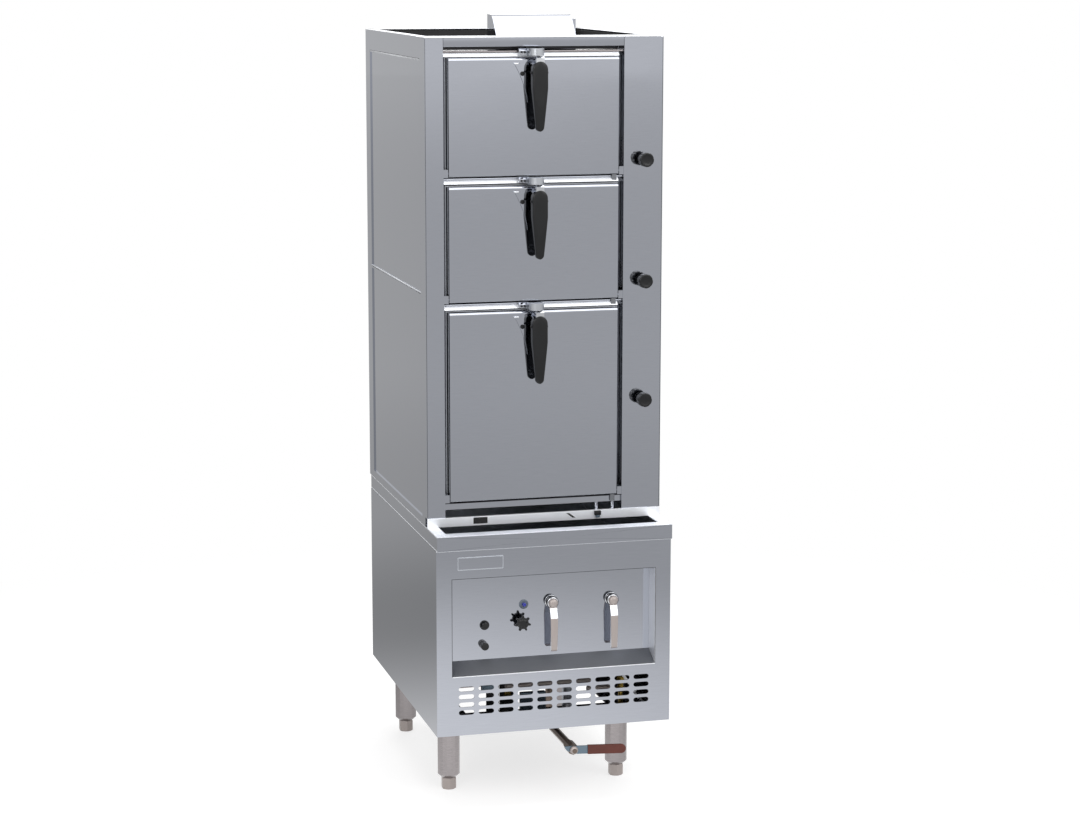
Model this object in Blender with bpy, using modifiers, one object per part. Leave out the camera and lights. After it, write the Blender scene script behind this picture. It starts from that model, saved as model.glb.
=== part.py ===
"""Gas steamer cabinet: a base with a water trough, and a tall casing with three drop-down doors.

Metres, +Z up. X runs along the front, Y runs from the front to the back.
The origin is on the floor, under the middle of the whole cabinet.
"""
import math

import bmesh
import bpy
from mathutils import Matrix, Vector

# Fits
gap = 0.0003
running_gap = 0.0007
overrun = 0.004
merge_distance = 0.00001

# Sheet metal
sheet = 0.002
cabinet_width = 0.600

# Base: depths count from its front plane
base_depth = 0.800
base_bottom = 0.202
base_height = 0.470
flange_width = 0.015
recess_side_margin = 0.0395
recess_rise = 0.150
recess_height = 0.2465
recess_depth = 0.050
ledge_rise = 0.026
vent_columns = 10
vent_rows = 4
vent_side_margin = 0.055
vent_pitch_z = 0.020
vent_bar_width = 0.010
vent_width = 0.012
vent_top_rise = 0.118
gas_inlet_radius = 0.012
floor_opening_side_margin = 0.115
floor_opening_front_depth = 0.180
floor_opening_back_depth = 0.700

# Deck and its trough
deck_overhang = 0.011
deck_height = 0.0365
trough_side_margin = 0.029
trough_front_depth = 0.022
upstand_height = 0.0235
upstand_flange = 0.020
chamber_opening_side_margin = 0.045
chamber_opening_margin = 0.030
overflow_length = 0.036
overflow_height = 0.016
overflow_centre_x = -0.165

# Water tank
tank_wall_margin = 0.004
tank_rim = 0.010
tank_height = 0.098

# Legs and feet
leg_inset_x = 0.077
leg_front_depth = 0.210
leg_back_inset = 0.068
leg_radius = 0.0285
leg_end_radius = 0.020
leg_chamfer = 0.008
foot_height = 0.028
foot_radius = 0.0195
foot_gap = 0.004
foot_stem_radius = 0.012
foot_stem_length = 0.110

# Upper casing
casing_front_depth = 0.097
casing_back_depth = 0.812
casing_height = 1.200
casing_wall = 0.005
pocket_depth = 0.003
casing_post = 0.055
casing_rim = 0.020
side_seam_height = 0.574
header_seam_drop = 0.052
top_flange_depth = 0.098
stile_left_width = 0.046
stile_right_width = 0.100
stile_depth = 0.055

# Doors, from the bottom up
door_names = ["lower", "middle", "upper"]
door_heights = {"lower": 0.471, "middle": 0.2825, "upper": 0.2855}
door_gap_height = 0.0245
door_side_gap = 0.0125
header_gap = 0.026
void_height = 0.019
sill_height = 0.020
rail_recess = 0.008
sill_strut_insets = (0.063, 0.021)
sill_strut_radius = 0.005
rail_clearance_above_door = 0.006
rail_clearance_below_door = 0.004
skin_depth = 0.022
pan_depth = 0.028
pan_overlap = 0.004
pan_foot_rise = 0.010
pan_top_rise = 0.0015
seal_width = 0.010
edge_radius = 0.002
hinge_inset = 0.008
hinge_pin_radius = 0.004
hinge_pin_reach = 0.012
hinge_block_depth = 0.016
hinge_block_height = 0.020
hinge_block_gap = 0.001

# Steam chamber
liner_side_margin = 0.025
liner_back_gap = 0.030
mouth_margin = 0.022
shelf_drain_radius = 0.012
shelf_drain_margin = 0.060

# Flue
duct_left = -0.068
duct_right = 0.1335
duct_front_depth = 0.300
duct_length = 0.100
duct_top_rise = 0.037
hood_left = -0.0955
hood_right = 0.107
hood_front_depth = 0.205
hood_length = 0.090
hood_top_rise = 0.050
hood_slope_run = 0.0435
hood_bend_radius = 0.044

# Door latches
latch_centre_x = -0.024
latch_reach = 0.035
handle_drop = 0.0085
handle_pivot_drop = 0.027
handle_length = 0.168
handle_width = 0.038
handle_tip_width = 0.021
handle_wall = 0.003
handle_front_reach = 0.0135
handle_depth = 0.0215
handle_tip_depth = 0.010
latch_pin_radius = 0.003
latch_pin_overhang = 0.003
plate_centre_x = -0.030
plate_width = 0.097
plate_height = 0.095
plate_drop = 0.013
plate_tip_width = 0.030
plate_thickness = 0.0025
latch_nose = 0.008
latch_foot_drop = 0.026
latch_top_rise = 0.022
hook_width = 0.020
hook_thickness = 0.0057
hook_root_rise = 0.012
hook_top_rise = 0.0393
hook_lip = 0.0065
hook_lip_height = 0.004
keeper_centre_x = -0.0295
keeper_width = 0.038
keeper_wall = 0.0025
keeper_front_reach = 0.047
keeper_bottom_rise = 0.005
keeper_height = 0.018
keeper_back_height = 0.015
keeper_foot_width = 0.056
keeper_foot_height = 0.013

# Steam knobs and valves
knob_inset = 0.0525
knob_heights = {"lower": 1.013, "middle": 1.310, "upper": 1.609}
knob_radius = 0.018
knob_lobe = 0.0012
knob_lobes = 10
knob_reach = 0.043
knob_depth = 0.025
knob_stem_radius = 0.008
valve_radius = 0.016
valve_back_margin = 0.006
riser_radius = 0.012

# Controls in the recess
igniter_x = -0.167
igniter_z = 0.466
igniter_radius = 0.010
igniter_reach = 0.012
igniter_travel = 0.004
igniter_stem_radius = 0.006
pilot_x = -0.1695
pilot_z = 0.4155
pilot_radius = 0.010
pilot_reach = 0.020
gas_wheel_x = -0.075
gas_wheel_z = 0.471
gas_wheel_radius = 0.018
gas_wheel_lobe = 0.003
gas_wheel_lobes = 7
gas_wheel_reach = 0.030
gas_wheel_depth = 0.011
control_stem_radius = 0.004
control_stem_length = 0.012
lamp_x = -0.0666
lamp_z = 0.513
lamp_radius = 0.0125
lamp_thickness = 0.0024
lens_radius = 0.005
lens_reach = 0.010
tap_places = {"left": (0.0039, 0.5165), "right": (0.1597, 0.514)}
tap_radius = 0.016
tap_reach = 0.020
tap_boss_radius = 0.006
tap_boss_reach = 0.027
tap_spindle_radius = 0.005
tap_spindle_length = 0.030
tap_lever_width = 0.019
tap_lever_thickness = 0.0025
tap_lever_front_reach = 0.034
tap_lever_top_rise = 0.013
tap_lever_bend_high = 0.0105
tap_lever_bend_low = 0.0375
tap_lever_length = 0.121
tap_lever_lip = 0.008

# Burner and gas pipes
burner_radius = 0.095
burner_bore = 0.045
burner_height = 0.036
burner_centre_depth = 0.420
burner_top_gap = 0.080
burner_post_radius = 0.006
burner_post_inset = 0.020
burner_strip_width = 0.020
gas_pipe_radius = 0.009
gas_pipe_depth = 0.085
gas_line_x = -0.183
gas_tail_reach = 0.012

# Drain
drain_x = 0.051
drain_z = 0.141
drain_pipe_radius = 0.010
drain_bend_depth = 0.240
drain_bend_radius = 0.030
drain_valve_radius = 0.014
drain_valve_front = 0.006
drain_valve_back = 0.050
drain_spindle_radius = 0.006
drain_nut_reach = 0.008
drain_lever_reach_left = 0.024
drain_lever_grip_start = 0.036
drain_lever_length = 0.136
drain_lever_width = 0.021
drain_lever_thickness = 0.003
drain_grip_width = 0.023
drain_grip_thickness = 0.007
drain_lever_droop_share = 0.044

# Levels and planes worked out from the sizes above
front_y = deck_overhang - (deck_overhang + casing_back_depth) / 2
half_width = cabinet_width / 2
base_top = base_bottom + base_height
deck_top = base_top + deck_height
upstand_top = deck_top + upstand_height
casing_top = deck_top + casing_height
casing_front = front_y + casing_front_depth
casing_back = front_y + casing_back_depth
base_back = front_y + base_depth
opening_left = -half_width + stile_left_width
opening_right = half_width - stile_right_width
door_left = opening_left + door_side_gap
door_right = opening_right - door_side_gap
sill_bottom = upstand_top + void_height
rail_front = casing_front + rail_recess
frame_back = casing_front + stile_depth
panel_front = front_y + recess_depth
recess_bottom = base_bottom + recess_rise
recess_top = recess_bottom + recess_height
recess_half_width = half_width - recess_side_margin
vent_pitch_x = (cabinet_width - 2 * vent_side_margin + vent_bar_width) / vent_columns
vent_length = vent_pitch_x - vent_bar_width
trough_half_width = half_width - trough_side_margin
chamber_opening_half_width = half_width - chamber_opening_side_margin
knob_centre_x = half_width - knob_inset


def door_spans():
    """Lowest and highest level of each door, stacked upwards from the sill."""
    spans = {}
    level = sill_bottom + sill_height
    for door in door_names:
        spans[door] = (level, level + door_heights[door])
        level = spans[door][1] + door_gap_height
    return spans


doors = door_spans()
liner_top = doors["upper"][1] + header_gap / 2
liner_front = frame_back + gap
liner_back = casing_back - liner_back_gap
finishes = {
    "polished_steel": ((0.62, 0.64, 0.68, 1.0), 0.18, 1.0),
    "brushed_steel": ((0.55, 0.54, 0.53, 1.0), 0.38, 1.0),
    "chrome": ((0.80, 0.80, 0.82, 1.0), 0.08, 1.0),
    "cast_iron": ((0.05, 0.05, 0.05, 1.0), 0.7, 0.6),
    "brass": ((0.72, 0.52, 0.20, 1.0), 0.3, 1.0),
    "black_plastic": ((0.012, 0.012, 0.013, 1.0), 0.35, 0.0),
    "seal_rubber": ((0.05, 0.05, 0.05, 1.0), 0.6, 0.0),
    "blue_lamp": ((0.03, 0.06, 0.45, 1.0), 0.15, 0.0),
    "zinc_blue": ((0.18, 0.27, 0.38, 1.0), 0.4, 0.8),
    "red_brown_sleeve": ((0.16, 0.06, 0.045, 1.0), 0.5, 0.0),
}


def fresh_collection(name):
    collection = bpy.data.collections.new(name)
    bpy.context.scene.collection.children.link(collection)
    return collection


for old_object in list(bpy.data.objects):
    bpy.data.objects.remove(old_object, do_unlink=True)
parts = fresh_collection("steamer_cabinet")
guides = fresh_collection("cutters_and_joined_shapes")


def add_object(name, mesh):
    """A mesh object among the guides; keep() moves it to the parts."""
    shape = bpy.data.objects.new(name, mesh)
    guides.objects.link(shape)
    shape.hide_render = True
    shape.display_type = "WIRE"
    return shape


def closed_mesh(mesh):
    """Weld the doubles of a mesh and point its faces outwards."""
    work = bmesh.new()
    work.from_mesh(mesh)
    bmesh.ops.remove_doubles(work, verts=work.verts, dist=merge_distance)
    bmesh.ops.recalc_face_normals(work, faces=work.faces)
    work.to_mesh(mesh)
    work.free()


def block(name, x, y, z):
    """A box between the low and high value of each direction."""
    size = Vector((x[1] - x[0], y[1] - y[0], z[1] - z[0]))
    centre = Vector((x[0] + x[1], y[0] + y[1], z[0] + z[1])) / 2
    mesh = bpy.data.meshes.new(name)
    work = bmesh.new()
    placed = Matrix.Translation(centre) @ Matrix.Diagonal((*size, 1.0))
    bmesh.ops.create_cube(work, size=1.0, matrix=placed)
    work.to_mesh(mesh)
    work.free()
    return add_object(name, mesh)


def rod(name, start, end, radius, end_radius=None, sides=16):
    """A closed cylinder or cone from one point to another."""
    start, end = Vector(start), Vector(end)
    along = end - start
    mesh = bpy.data.meshes.new(name)
    work = bmesh.new()
    turn = along.to_track_quat("Z", "Y").to_matrix().to_4x4()
    placed = Matrix.Translation((start + end) / 2) @ turn
    last_radius = radius if end_radius is None else end_radius
    bmesh.ops.create_cone(work, cap_ends=True, segments=sides, radius1=radius, radius2=last_radius,
                          depth=along.length, matrix=placed)
    work.to_mesh(mesh)
    work.free()
    mesh.shade_smooth()
    mesh.set_sharp_from_angle(angle=math.radians(40))
    return add_object(name, mesh)


plane_axes = {
    "x": Matrix(((0, 0, 1), (1, 0, 0), (0, 1, 0))),
    "y": Matrix(((1, 0, 0), (0, 0, -1), (0, 1, 0))),
    "z": Matrix.Identity(3),
}


def prism(name, axis, span, outline, holes=()):
    """A flat outline with its holes, extruded along an axis between two values.

    The outline lies in (y, z) for x, in (x, z) for y and in (x, y) for z.
    """
    curve = bpy.data.curves.new(name, "CURVE")
    curve.dimensions = "2D"
    curve.fill_mode = "BOTH"
    curve.extrude = (span[1] - span[0]) / 2
    for loop in [outline, *holes]:
        spline = curve.splines.new("POLY")
        spline.points.add(len(loop) - 1)
        spline.use_cyclic_u = True
        for point, (u, v) in zip(spline.points, loop):
            point.co = (u, v, 0.0, 1.0)
    flat = bpy.data.objects.new(name, curve)
    guides.objects.link(flat)
    middle = (span[0] + span[1]) / 2
    centre = {"x": (middle, 0, 0), "y": (0, middle, 0), "z": (0, 0, middle)}[axis]
    flat.matrix_world = Matrix.Translation(centre) @ plane_axes[axis].to_4x4()
    bpy.context.view_layer.update()
    mesh = bpy.data.meshes.new_from_object(flat.evaluated_get(bpy.context.evaluated_depsgraph_get()))
    closed_mesh(mesh)
    placed = flat.matrix_world.copy()
    bpy.data.objects.remove(flat, do_unlink=True)
    solid = add_object(name, mesh)
    solid.matrix_world = placed
    return solid


def pipe(name, points, radius):
    """A round bar along straight runs and bends."""
    curve = bpy.data.curves.new(name, "CURVE")
    curve.dimensions = "3D"
    curve.bevel_depth = radius
    curve.bevel_resolution = 2
    curve.use_fill_caps = True
    spline = curve.splines.new("POLY")
    spline.points.add(len(points) - 1)
    for point, place in zip(spline.points, points):
        point.co = (*place, 1.0)
    wire = bpy.data.objects.new(name, curve)
    guides.objects.link(wire)
    bpy.context.view_layer.update()
    mesh = bpy.data.meshes.new_from_object(wire.evaluated_get(bpy.context.evaluated_depsgraph_get()))
    closed_mesh(mesh)
    bpy.data.objects.remove(wire, do_unlink=True)
    return add_object(name, mesh)


def turned(name, axis_point, profile, sides=16):
    """A solid of revolution about a vertical axis, its profile run from the top down the outside."""
    mesh = bpy.data.meshes.new(name)
    points = [(radius, 0.0, level) for radius, level in profile]
    edges = [(index, index + 1) for index in range(len(points) - 1)]
    mesh.from_pydata(points, edges, [])
    solid = add_object(name, mesh)
    solid.location = axis_point
    screw = solid.modifiers.new("turn", "SCREW")
    screw.axis = "Z"
    screw.steps = sides
    screw.render_steps = sides
    screw.use_merge_vertices = True
    screw.merge_threshold = merge_distance
    screw.use_smooth_shade = True
    return solid


def rectangle(u, v):
    return [(u[0], v[0]), (u[1], v[0]), (u[1], v[1]), (u[0], v[1])]


def circle(centre, radius, sides=16):
    turns = [2 * math.pi * index / sides for index in range(sides)]
    return [(centre[0] + radius * math.cos(turn), centre[1] + radius * math.sin(turn)) for turn in turns]


def arc(centre, radius, first, last, steps):
    """Points on an arc between two angles in degrees."""
    angles = [math.radians(first + (last - first) * index / steps) for index in range(steps + 1)]
    return [(centre[0] + radius * math.cos(a), centre[1] + radius * math.sin(a)) for a in angles]


def slot_outline(centre, length, width):
    """A slot with round ends, along the first direction."""
    reach = (length - width) / 2
    right = arc((centre[0] + reach, centre[1]), width / 2, -90, 90, 4)
    left = arc((centre[0] - reach, centre[1]), width / 2, 90, 270, 4)
    return right + left


def lobed_outline(centre, radius, lobe, lobes):
    """A circle whose radius waves in and out once for each lobe."""
    points = []
    sides = lobes * 4
    for index in range(sides):
        turn = 2 * math.pi * index / sides
        reach = radius + lobe * math.cos(lobes * turn)
        points.append((centre[0] + reach * math.cos(turn), centre[1] + reach * math.sin(turn)))
    return points


def bent_sheet(points, wall):
    """The outline of a folded sheet: a line of folds, and the same line offset to its right."""
    corners = [Vector(point) for point in points]
    offsets = []
    for index, corner in enumerate(corners):
        normals = []
        if index > 0:
            run = (corner - corners[index - 1]).normalized()
            normals.append(Vector((run.y, -run.x)))
        if index < len(corners) - 1:
            run = (corners[index + 1] - corner).normalized()
            normals.append(Vector((run.y, -run.x)))
        mitre = sum(normals, Vector((0.0, 0.0))).normalized()
        offsets.append(corner + mitre * (wall / mitre.dot(normals[0])))
    return [tuple(corner) for corner in corners] + [tuple(corner) for corner in reversed(offsets)]


def boolean(target, operand, operation):
    change = target.modifiers.new(operation.lower(), "BOOLEAN")
    change.operation = operation
    change.solver = "EXACT"
    change.object = operand
    return target


def cut(target, *cutters):
    for cutter in cutters:
        boolean(target, cutter, "DIFFERENCE")
    return target


def join(target, *shapes):
    for shape in shapes:
        boolean(target, shape, "UNION")
    return target


def group(name, solids):
    """One object of several separate solids, each taken as it is evaluated."""
    bpy.context.view_layer.update()
    depsgraph = bpy.context.evaluated_depsgraph_get()
    mesh = bpy.data.meshes.new(name)
    work = bmesh.new()
    for solid in solids:
        copy = bpy.data.meshes.new_from_object(solid.evaluated_get(depsgraph))
        copy.transform(solid.matrix_world)
        work.from_mesh(copy)
        bpy.data.meshes.remove(copy)
    work.to_mesh(mesh)
    work.free()
    for solid in solids:
        bpy.data.objects.remove(solid, do_unlink=True)
    return add_object(name, mesh)


def rounded(target, radius):
    """Small round edges on a block."""
    bevel = target.modifiers.new("round_edges", "BEVEL")
    bevel.width = radius
    bevel.segments = 2
    bevel.limit_method = "ANGLE"
    return target


def keep(solid, finish, pivot=None):
    """Move a finished solid to the parts, with its own material and, if it moves, its pivot as origin."""
    guides.objects.unlink(solid)
    parts.objects.link(solid)
    solid.hide_render = False
    solid.display_type = "TEXTURED"
    colour, roughness, metallic = finishes[finish]
    material = bpy.data.materials.new(solid.name + "_" + finish)
    material.use_nodes = True
    shader = material.node_tree.nodes["Principled BSDF"]
    shader.inputs["Base Color"].default_value = colour
    shader.inputs["Roughness"].default_value = roughness
    shader.inputs["Metallic"].default_value = metallic
    solid.data.materials.clear()
    solid.data.materials.append(material)
    if pivot is not None:
        pivot_empty = bpy.data.objects.new(solid.name + "_pivot", None)
        parts.objects.link(pivot_empty)
        pivot_empty.location = pivot
        solid.parent = pivot_empty
        solid.matrix_parent_inverse = Matrix.Translation(-Vector(pivot))
    return solid


def make_base_wrapper():
    """Both sides and the back of the base, folded from one sheet, with a flange behind the fascia."""
    low_y = front_y + sheet + gap
    tip = half_width - flange_width
    folds = [(-tip, low_y), (-half_width, low_y), (-half_width, base_back), (half_width, base_back),
             (half_width, low_y), (tip, low_y)]
    wrapper = prism("base_wrapper", "z", (base_bottom, base_top - gap), bent_sheet(folds, sheet))
    cut(wrapper, rod("gas_inlet", (gas_line_x, base_back - overrun, gas_wheel_z),
                     (gas_line_x, base_back + overrun, gas_wheel_z), gas_inlet_radius))
    keep(wrapper, "polished_steel")


def leg_places():
    reach = half_width - leg_inset_x
    places = {}
    for side, x in (("left", -reach), ("right", reach)):
        places["front_" + side] = (x, front_y + leg_front_depth)
        places["back_" + side] = (x, base_back - leg_back_inset)
    return places


def make_base_floor():
    """The floor pan, open before and behind the burner's strip, where the drain pipe passes, with
    its four leg tubes, and the levelling foot in each tube."""
    x_reach = half_width - sheet - gap
    low_y = front_y + 2 * (sheet + gap)
    high_y = base_back - sheet - gap
    opening_reach = half_width - floor_opening_side_margin
    strip_y = front_y + burner_centre_depth
    front_opening = rectangle((-opening_reach, opening_reach),
                              (front_y + floor_opening_front_depth, strip_y - burner_strip_width / 2))
    back_opening = rectangle((-opening_reach, opening_reach),
                             (strip_y + burner_strip_width / 2, front_y + floor_opening_back_depth))
    outline = rectangle((-x_reach, x_reach), (low_y, high_y))
    floor = prism("base_floor_and_legs", "z", (base_bottom, base_bottom + sheet), outline,
                  [front_opening, back_opening])
    top = base_bottom + sheet / 2
    bottom = foot_height + foot_gap
    socket_top = foot_height + foot_stem_length
    bore = foot_stem_radius + running_gap
    for place, (x, y) in leg_places().items():
        profile = [(0.0, top), (leg_radius, top), (leg_radius, bottom + leg_chamfer),
                   (leg_end_radius, bottom), (0.0, bottom)]
        tube = turned("leg_" + place, (x, y, 0.0), profile)
        cut(tube, rod("leg_bore_" + place, (x, y, bottom - overrun), (x, y, socket_top + overrun), bore))
        join(floor, tube)
        foot = rod("foot_" + place, (x, y, 0.0), (x, y, foot_height), foot_radius, sides=6)
        stem = rod("foot_stem_" + place, (x, y, foot_height / 2), (x, y, socket_top), foot_stem_radius)
        join(foot, stem)
        keep(foot, "brushed_steel", (x, y, foot_height))
    keep(floor, "brushed_steel")


def vent_cutters():
    """The slots of the vent, as one group of cutters through the fascia."""
    first_x = -vent_pitch_x * (vent_columns - 1) / 2
    span = (front_y - overrun, front_y + sheet + overrun)
    slots = []
    for row in range(vent_rows):
        level = base_bottom + vent_top_rise - row * vent_pitch_z
        for column in range(vent_columns):
            centre = (first_x + column * vent_pitch_x, level)
            slots.append(prism("vent_slot", "y", span, slot_outline(centre, vent_length, vent_width)))
    return group("vent_slots", slots)


def make_fascia():
    outline = rectangle((-half_width, half_width), (base_bottom, base_top - gap))
    mouth = rectangle((-recess_half_width, recess_half_width), (recess_bottom, recess_top))
    fascia = prism("base_front_fascia", "y", (front_y, front_y + sheet), outline, [mouth])
    back = panel_front - gap
    ledge_back = recess_bottom + ledge_rise * (back - front_y) / recess_depth
    tub_outline = [(front_y + sheet / 2, recess_bottom - sheet), (back, ledge_back - sheet),
                   (back, recess_top + sheet), (front_y + sheet / 2, recess_top + sheet)]
    outer = recess_half_width + sheet
    tub = prism("recess_tub", "x", (-outer, outer), tub_outline)
    ledge_slope = ledge_rise / recess_depth
    hollow_outline = [(front_y - overrun, recess_bottom - overrun * ledge_slope),
                      (back + overrun, ledge_back + overrun * ledge_slope),
                      (back + overrun, recess_top), (front_y - overrun, recess_top)]
    hollow = prism("recess_hollow", "x", (-recess_half_width, recess_half_width), hollow_outline)
    join(fascia, tub)
    cut(fascia, hollow, vent_cutters())
    keep(fascia, "polished_steel")


def make_control_panel():
    outer = recess_half_width + sheet
    low_z = recess_bottom + ledge_rise - sheet
    outline = rectangle((-outer, outer), (low_z, recess_top + sheet))
    stem = control_stem_radius + running_gap
    holes = [circle((igniter_x, igniter_z), igniter_stem_radius + running_gap),
             circle((pilot_x, pilot_z), stem), circle((gas_wheel_x, gas_wheel_z), stem),
             circle((lamp_x, lamp_z), stem)]
    for tap_x, tap_z in tap_places.values():
        holes.append(circle((tap_x, tap_z), tap_spindle_radius + running_gap))
    span = (panel_front, panel_front + sheet)
    keep(prism("control_panel", "y", span, outline, holes), "polished_steel")


def make_deck():
    deck_front = front_y - deck_overhang
    deck = block("deck_frame", (-half_width, half_width), (deck_front, base_back), (base_top, deck_top))
    inner = half_width - sheet
    hollow = block("deck_hollow", (-inner, inner), (deck_front + sheet, base_back - sheet),
                   (base_top - overrun, deck_top - sheet))
    trough = block("trough_opening", (-trough_half_width, trough_half_width),
                   (front_y + trough_front_depth, casing_front - running_gap),
                   (base_top, deck_top + overrun))
    reach = chamber_opening_half_width
    chamber = block("chamber_opening", (-reach, reach),
                    (casing_front + upstand_flange, base_back - chamber_opening_margin),
                    (base_top, deck_top + overrun))
    cut(deck, hollow, trough, chamber)
    folds = [(casing_front, deck_top - sheet / 2), (casing_front, upstand_top),
             (casing_front + upstand_flange, upstand_top)]
    strip = prism("upstand", "x", (-half_width, half_width), bent_sheet(folds, sheet))
    overflow = block("overflow_hole",
                     (overflow_centre_x - overflow_length / 2, overflow_centre_x + overflow_length / 2),
                     (casing_front - overrun, casing_front + overrun),
                     (deck_top + sheet, deck_top + sheet + overflow_height))
    join(deck, strip)
    cut(deck, overflow)
    keep(deck, "polished_steel")


def make_tank():
    inner_x = trough_half_width
    low_y = front_y + trough_front_depth - tank_wall_margin + sheet
    high_y = base_back - chamber_opening_margin + tank_wall_margin
    rim_top = deck_top - sheet - gap
    bottom = rim_top - tank_height
    rim = block("water_tank", (-inner_x - tank_rim, inner_x + tank_rim),
                (low_y - tank_rim, high_y + tank_rim), (rim_top - sheet, rim_top))
    body = block("tank_body", (-inner_x - sheet, inner_x + sheet), (low_y - sheet, high_y + sheet),
                 (bottom, rim_top - sheet / 2))
    hollow = block("tank_hollow", (-inner_x, inner_x), (low_y, high_y), (bottom + sheet, rim_top + overrun))
    join(rim, body)
    cut(rim, hollow)
    keep(rim, "brushed_steel")
    return bottom


def make_casing_sides():
    for name, side in (("casing_side_left", -1), ("casing_side_right", 1)):
        outer = side * half_width
        inner = side * (half_width - casing_wall)
        face_y = casing_front + sheet + gap
        curb_y = casing_front + upstand_flange + gap
        flange_y = casing_front + top_flange_depth + gap
        outline = [(face_y, upstand_top + gap), (curb_y, upstand_top + gap), (curb_y, deck_top + gap),
                   (casing_back, deck_top + gap), (casing_back, casing_top), (flange_y, casing_top),
                   (flange_y, casing_top - sheet - gap), (face_y, casing_top - sheet - gap)]
        plate = prism(name, "x", (min(outer, inner), max(outer, inner)), outline)
        rim_x = sorted((inner - side * casing_rim, outer - side * sheet))
        rim = block(name + "_rim", rim_x, (flange_y, casing_back - casing_rim - gap),
                    (casing_top - sheet, casing_top))
        join(plate, rim)
        post_front = casing_front + casing_post
        post_back = casing_back - casing_post
        seam = deck_top + side_seam_height
        floor = outer - side * pocket_depth
        pocket_x = sorted((floor, outer + side * overrun))
        lower = block(name + "_lower_pocket", pocket_x, (post_front, post_back),
                      (deck_top + casing_rim, seam - sheet))
        upper = block(name + "_upper_pocket", pocket_x, (post_front, post_back),
                      (seam + sheet, casing_top - header_seam_drop))
        cut(plate, lower, upper)
        keep(plate, "polished_steel")


def make_casing_back():
    reach = half_width - casing_wall - gap
    plate = block("casing_back", (-reach, reach), (casing_back - sheet, casing_back),
                  (deck_top + gap, casing_top))
    rim = block("casing_back_rim", (-reach, reach), (casing_back - casing_rim, casing_back - sheet / 2),
                (casing_top - sheet, casing_top))
    join(plate, rim)
    keep(plate, "polished_steel")


def hinge_point(door):
    return Vector((0.0, casing_front + hinge_inset, doors[door][0] + hinge_inset))


def add_hinge_blocks(stile, wall_x, edge_x, side):
    """A block with a pin for each door, standing on the stile's return; side points to the door."""
    root = wall_x - side * sheet / 2
    for door in door_names:
        hinge = hinge_point(door)
        bottom = doors[door][0] - sheet
        stand = block("hinge_block_" + door, sorted((root, edge_x - side * hinge_block_gap)),
                      (casing_front + sheet / 2, casing_front + hinge_block_depth),
                      (bottom, bottom + hinge_block_height))
        pin = rod("hinge_pin_" + door, (edge_x - side * 2 * hinge_block_gap, hinge.y, hinge.z),
                  (edge_x + side * hinge_pin_reach, hinge.y, hinge.z), hinge_pin_radius, sides=12)
        join(stile, stand, pin)


def make_stiles():
    """The two front posts, each with the hinge blocks and pins of its side of the doors."""
    span = (upstand_top + gap, casing_top - sheet - gap)
    left_folds = [(-half_width, casing_front), (opening_left, casing_front), (opening_left, frame_back)]
    left = prism("stile_left", "z", span, bent_sheet(left_folds, -sheet))
    add_hinge_blocks(left, opening_left, door_left, 1)
    keep(left, "polished_steel")
    right_folds = [(half_width, casing_front), (opening_right, casing_front), (opening_right, frame_back)]
    right = prism("stile_right", "z", span, bent_sheet(right_folds, sheet))
    add_hinge_blocks(right, opening_right, door_right, -1)
    for door, level in knob_heights.items():
        hole_radius = knob_stem_radius + running_gap
        cut(right, rod("knob_hole_" + door, (knob_centre_x, casing_front - overrun, level),
                       (knob_centre_x, casing_front + sheet + overrun, level), hole_radius))
    keep(right, "polished_steel")


def make_rails():
    """The header, the two rails between the doors and the sill, folded from sheet."""
    span = (opening_left + gap, opening_right - gap)
    low = doors["upper"][1] + rail_clearance_above_door
    face_bottom = doors["upper"][1] + header_gap
    folds = [(frame_back, low), (rail_front, low), (rail_front, face_bottom), (casing_front, face_bottom),
             (casing_front, casing_top - sheet / 2)]
    header = prism("header_rail", "x", span, bent_sheet(folds, sheet))
    flange = block("header_flange", (-half_width, half_width),
                   (casing_front, casing_front + top_flange_depth), (casing_top - sheet, casing_top))
    join(header, flange)
    keep(header, "polished_steel")
    rail_height = door_gap_height - rail_clearance_above_door - rail_clearance_below_door
    bottoms = {"sill_rail": sill_bottom}
    for door in door_names[:-1]:
        bottoms["rail_over_" + door + "_door"] = doors[door][1] + rail_clearance_above_door
    for name, bottom in bottoms.items():
        top = bottom + rail_height
        folds = [(frame_back, bottom), (rail_front, bottom), (rail_front, top), (frame_back, top)]
        rail = prism(name, "x", span, bent_sheet(folds, sheet))
        if name == "sill_rail":
            for inset in sill_strut_insets:
                x = opening_right - inset
                join(rail, rod("sill_strut", (x, rail_front + sill_strut_radius, upstand_top + gap),
                               (x, rail_front + sill_strut_radius, bottom + sheet / 2), sill_strut_radius))
        keep(rail, "polished_steel")


def mouth_span(door):
    return doors[door][0] + mouth_margin, doors[door][1] - mouth_margin


def shelf_levels():
    """Where each compartment's floor plate lies: on the sill and behind the rails."""
    levels = {"lower": sill_bottom + sheet}
    for door, above in zip(door_names, door_names[1:]):
        levels[above] = doors[door][1] + door_gap_height / 2
    return levels


def add_shelves(liner, x, y):
    """One floor plate under each compartment, with a drain hole near its back."""
    drain = circle(((x[0] + x[1]) / 2, y[1] - shelf_drain_margin), shelf_drain_radius)
    for door, level in shelf_levels().items():
        join(liner, prism("shelf_" + door, "z", (level, level + sheet), rectangle(x, y), [drain]))


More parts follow.
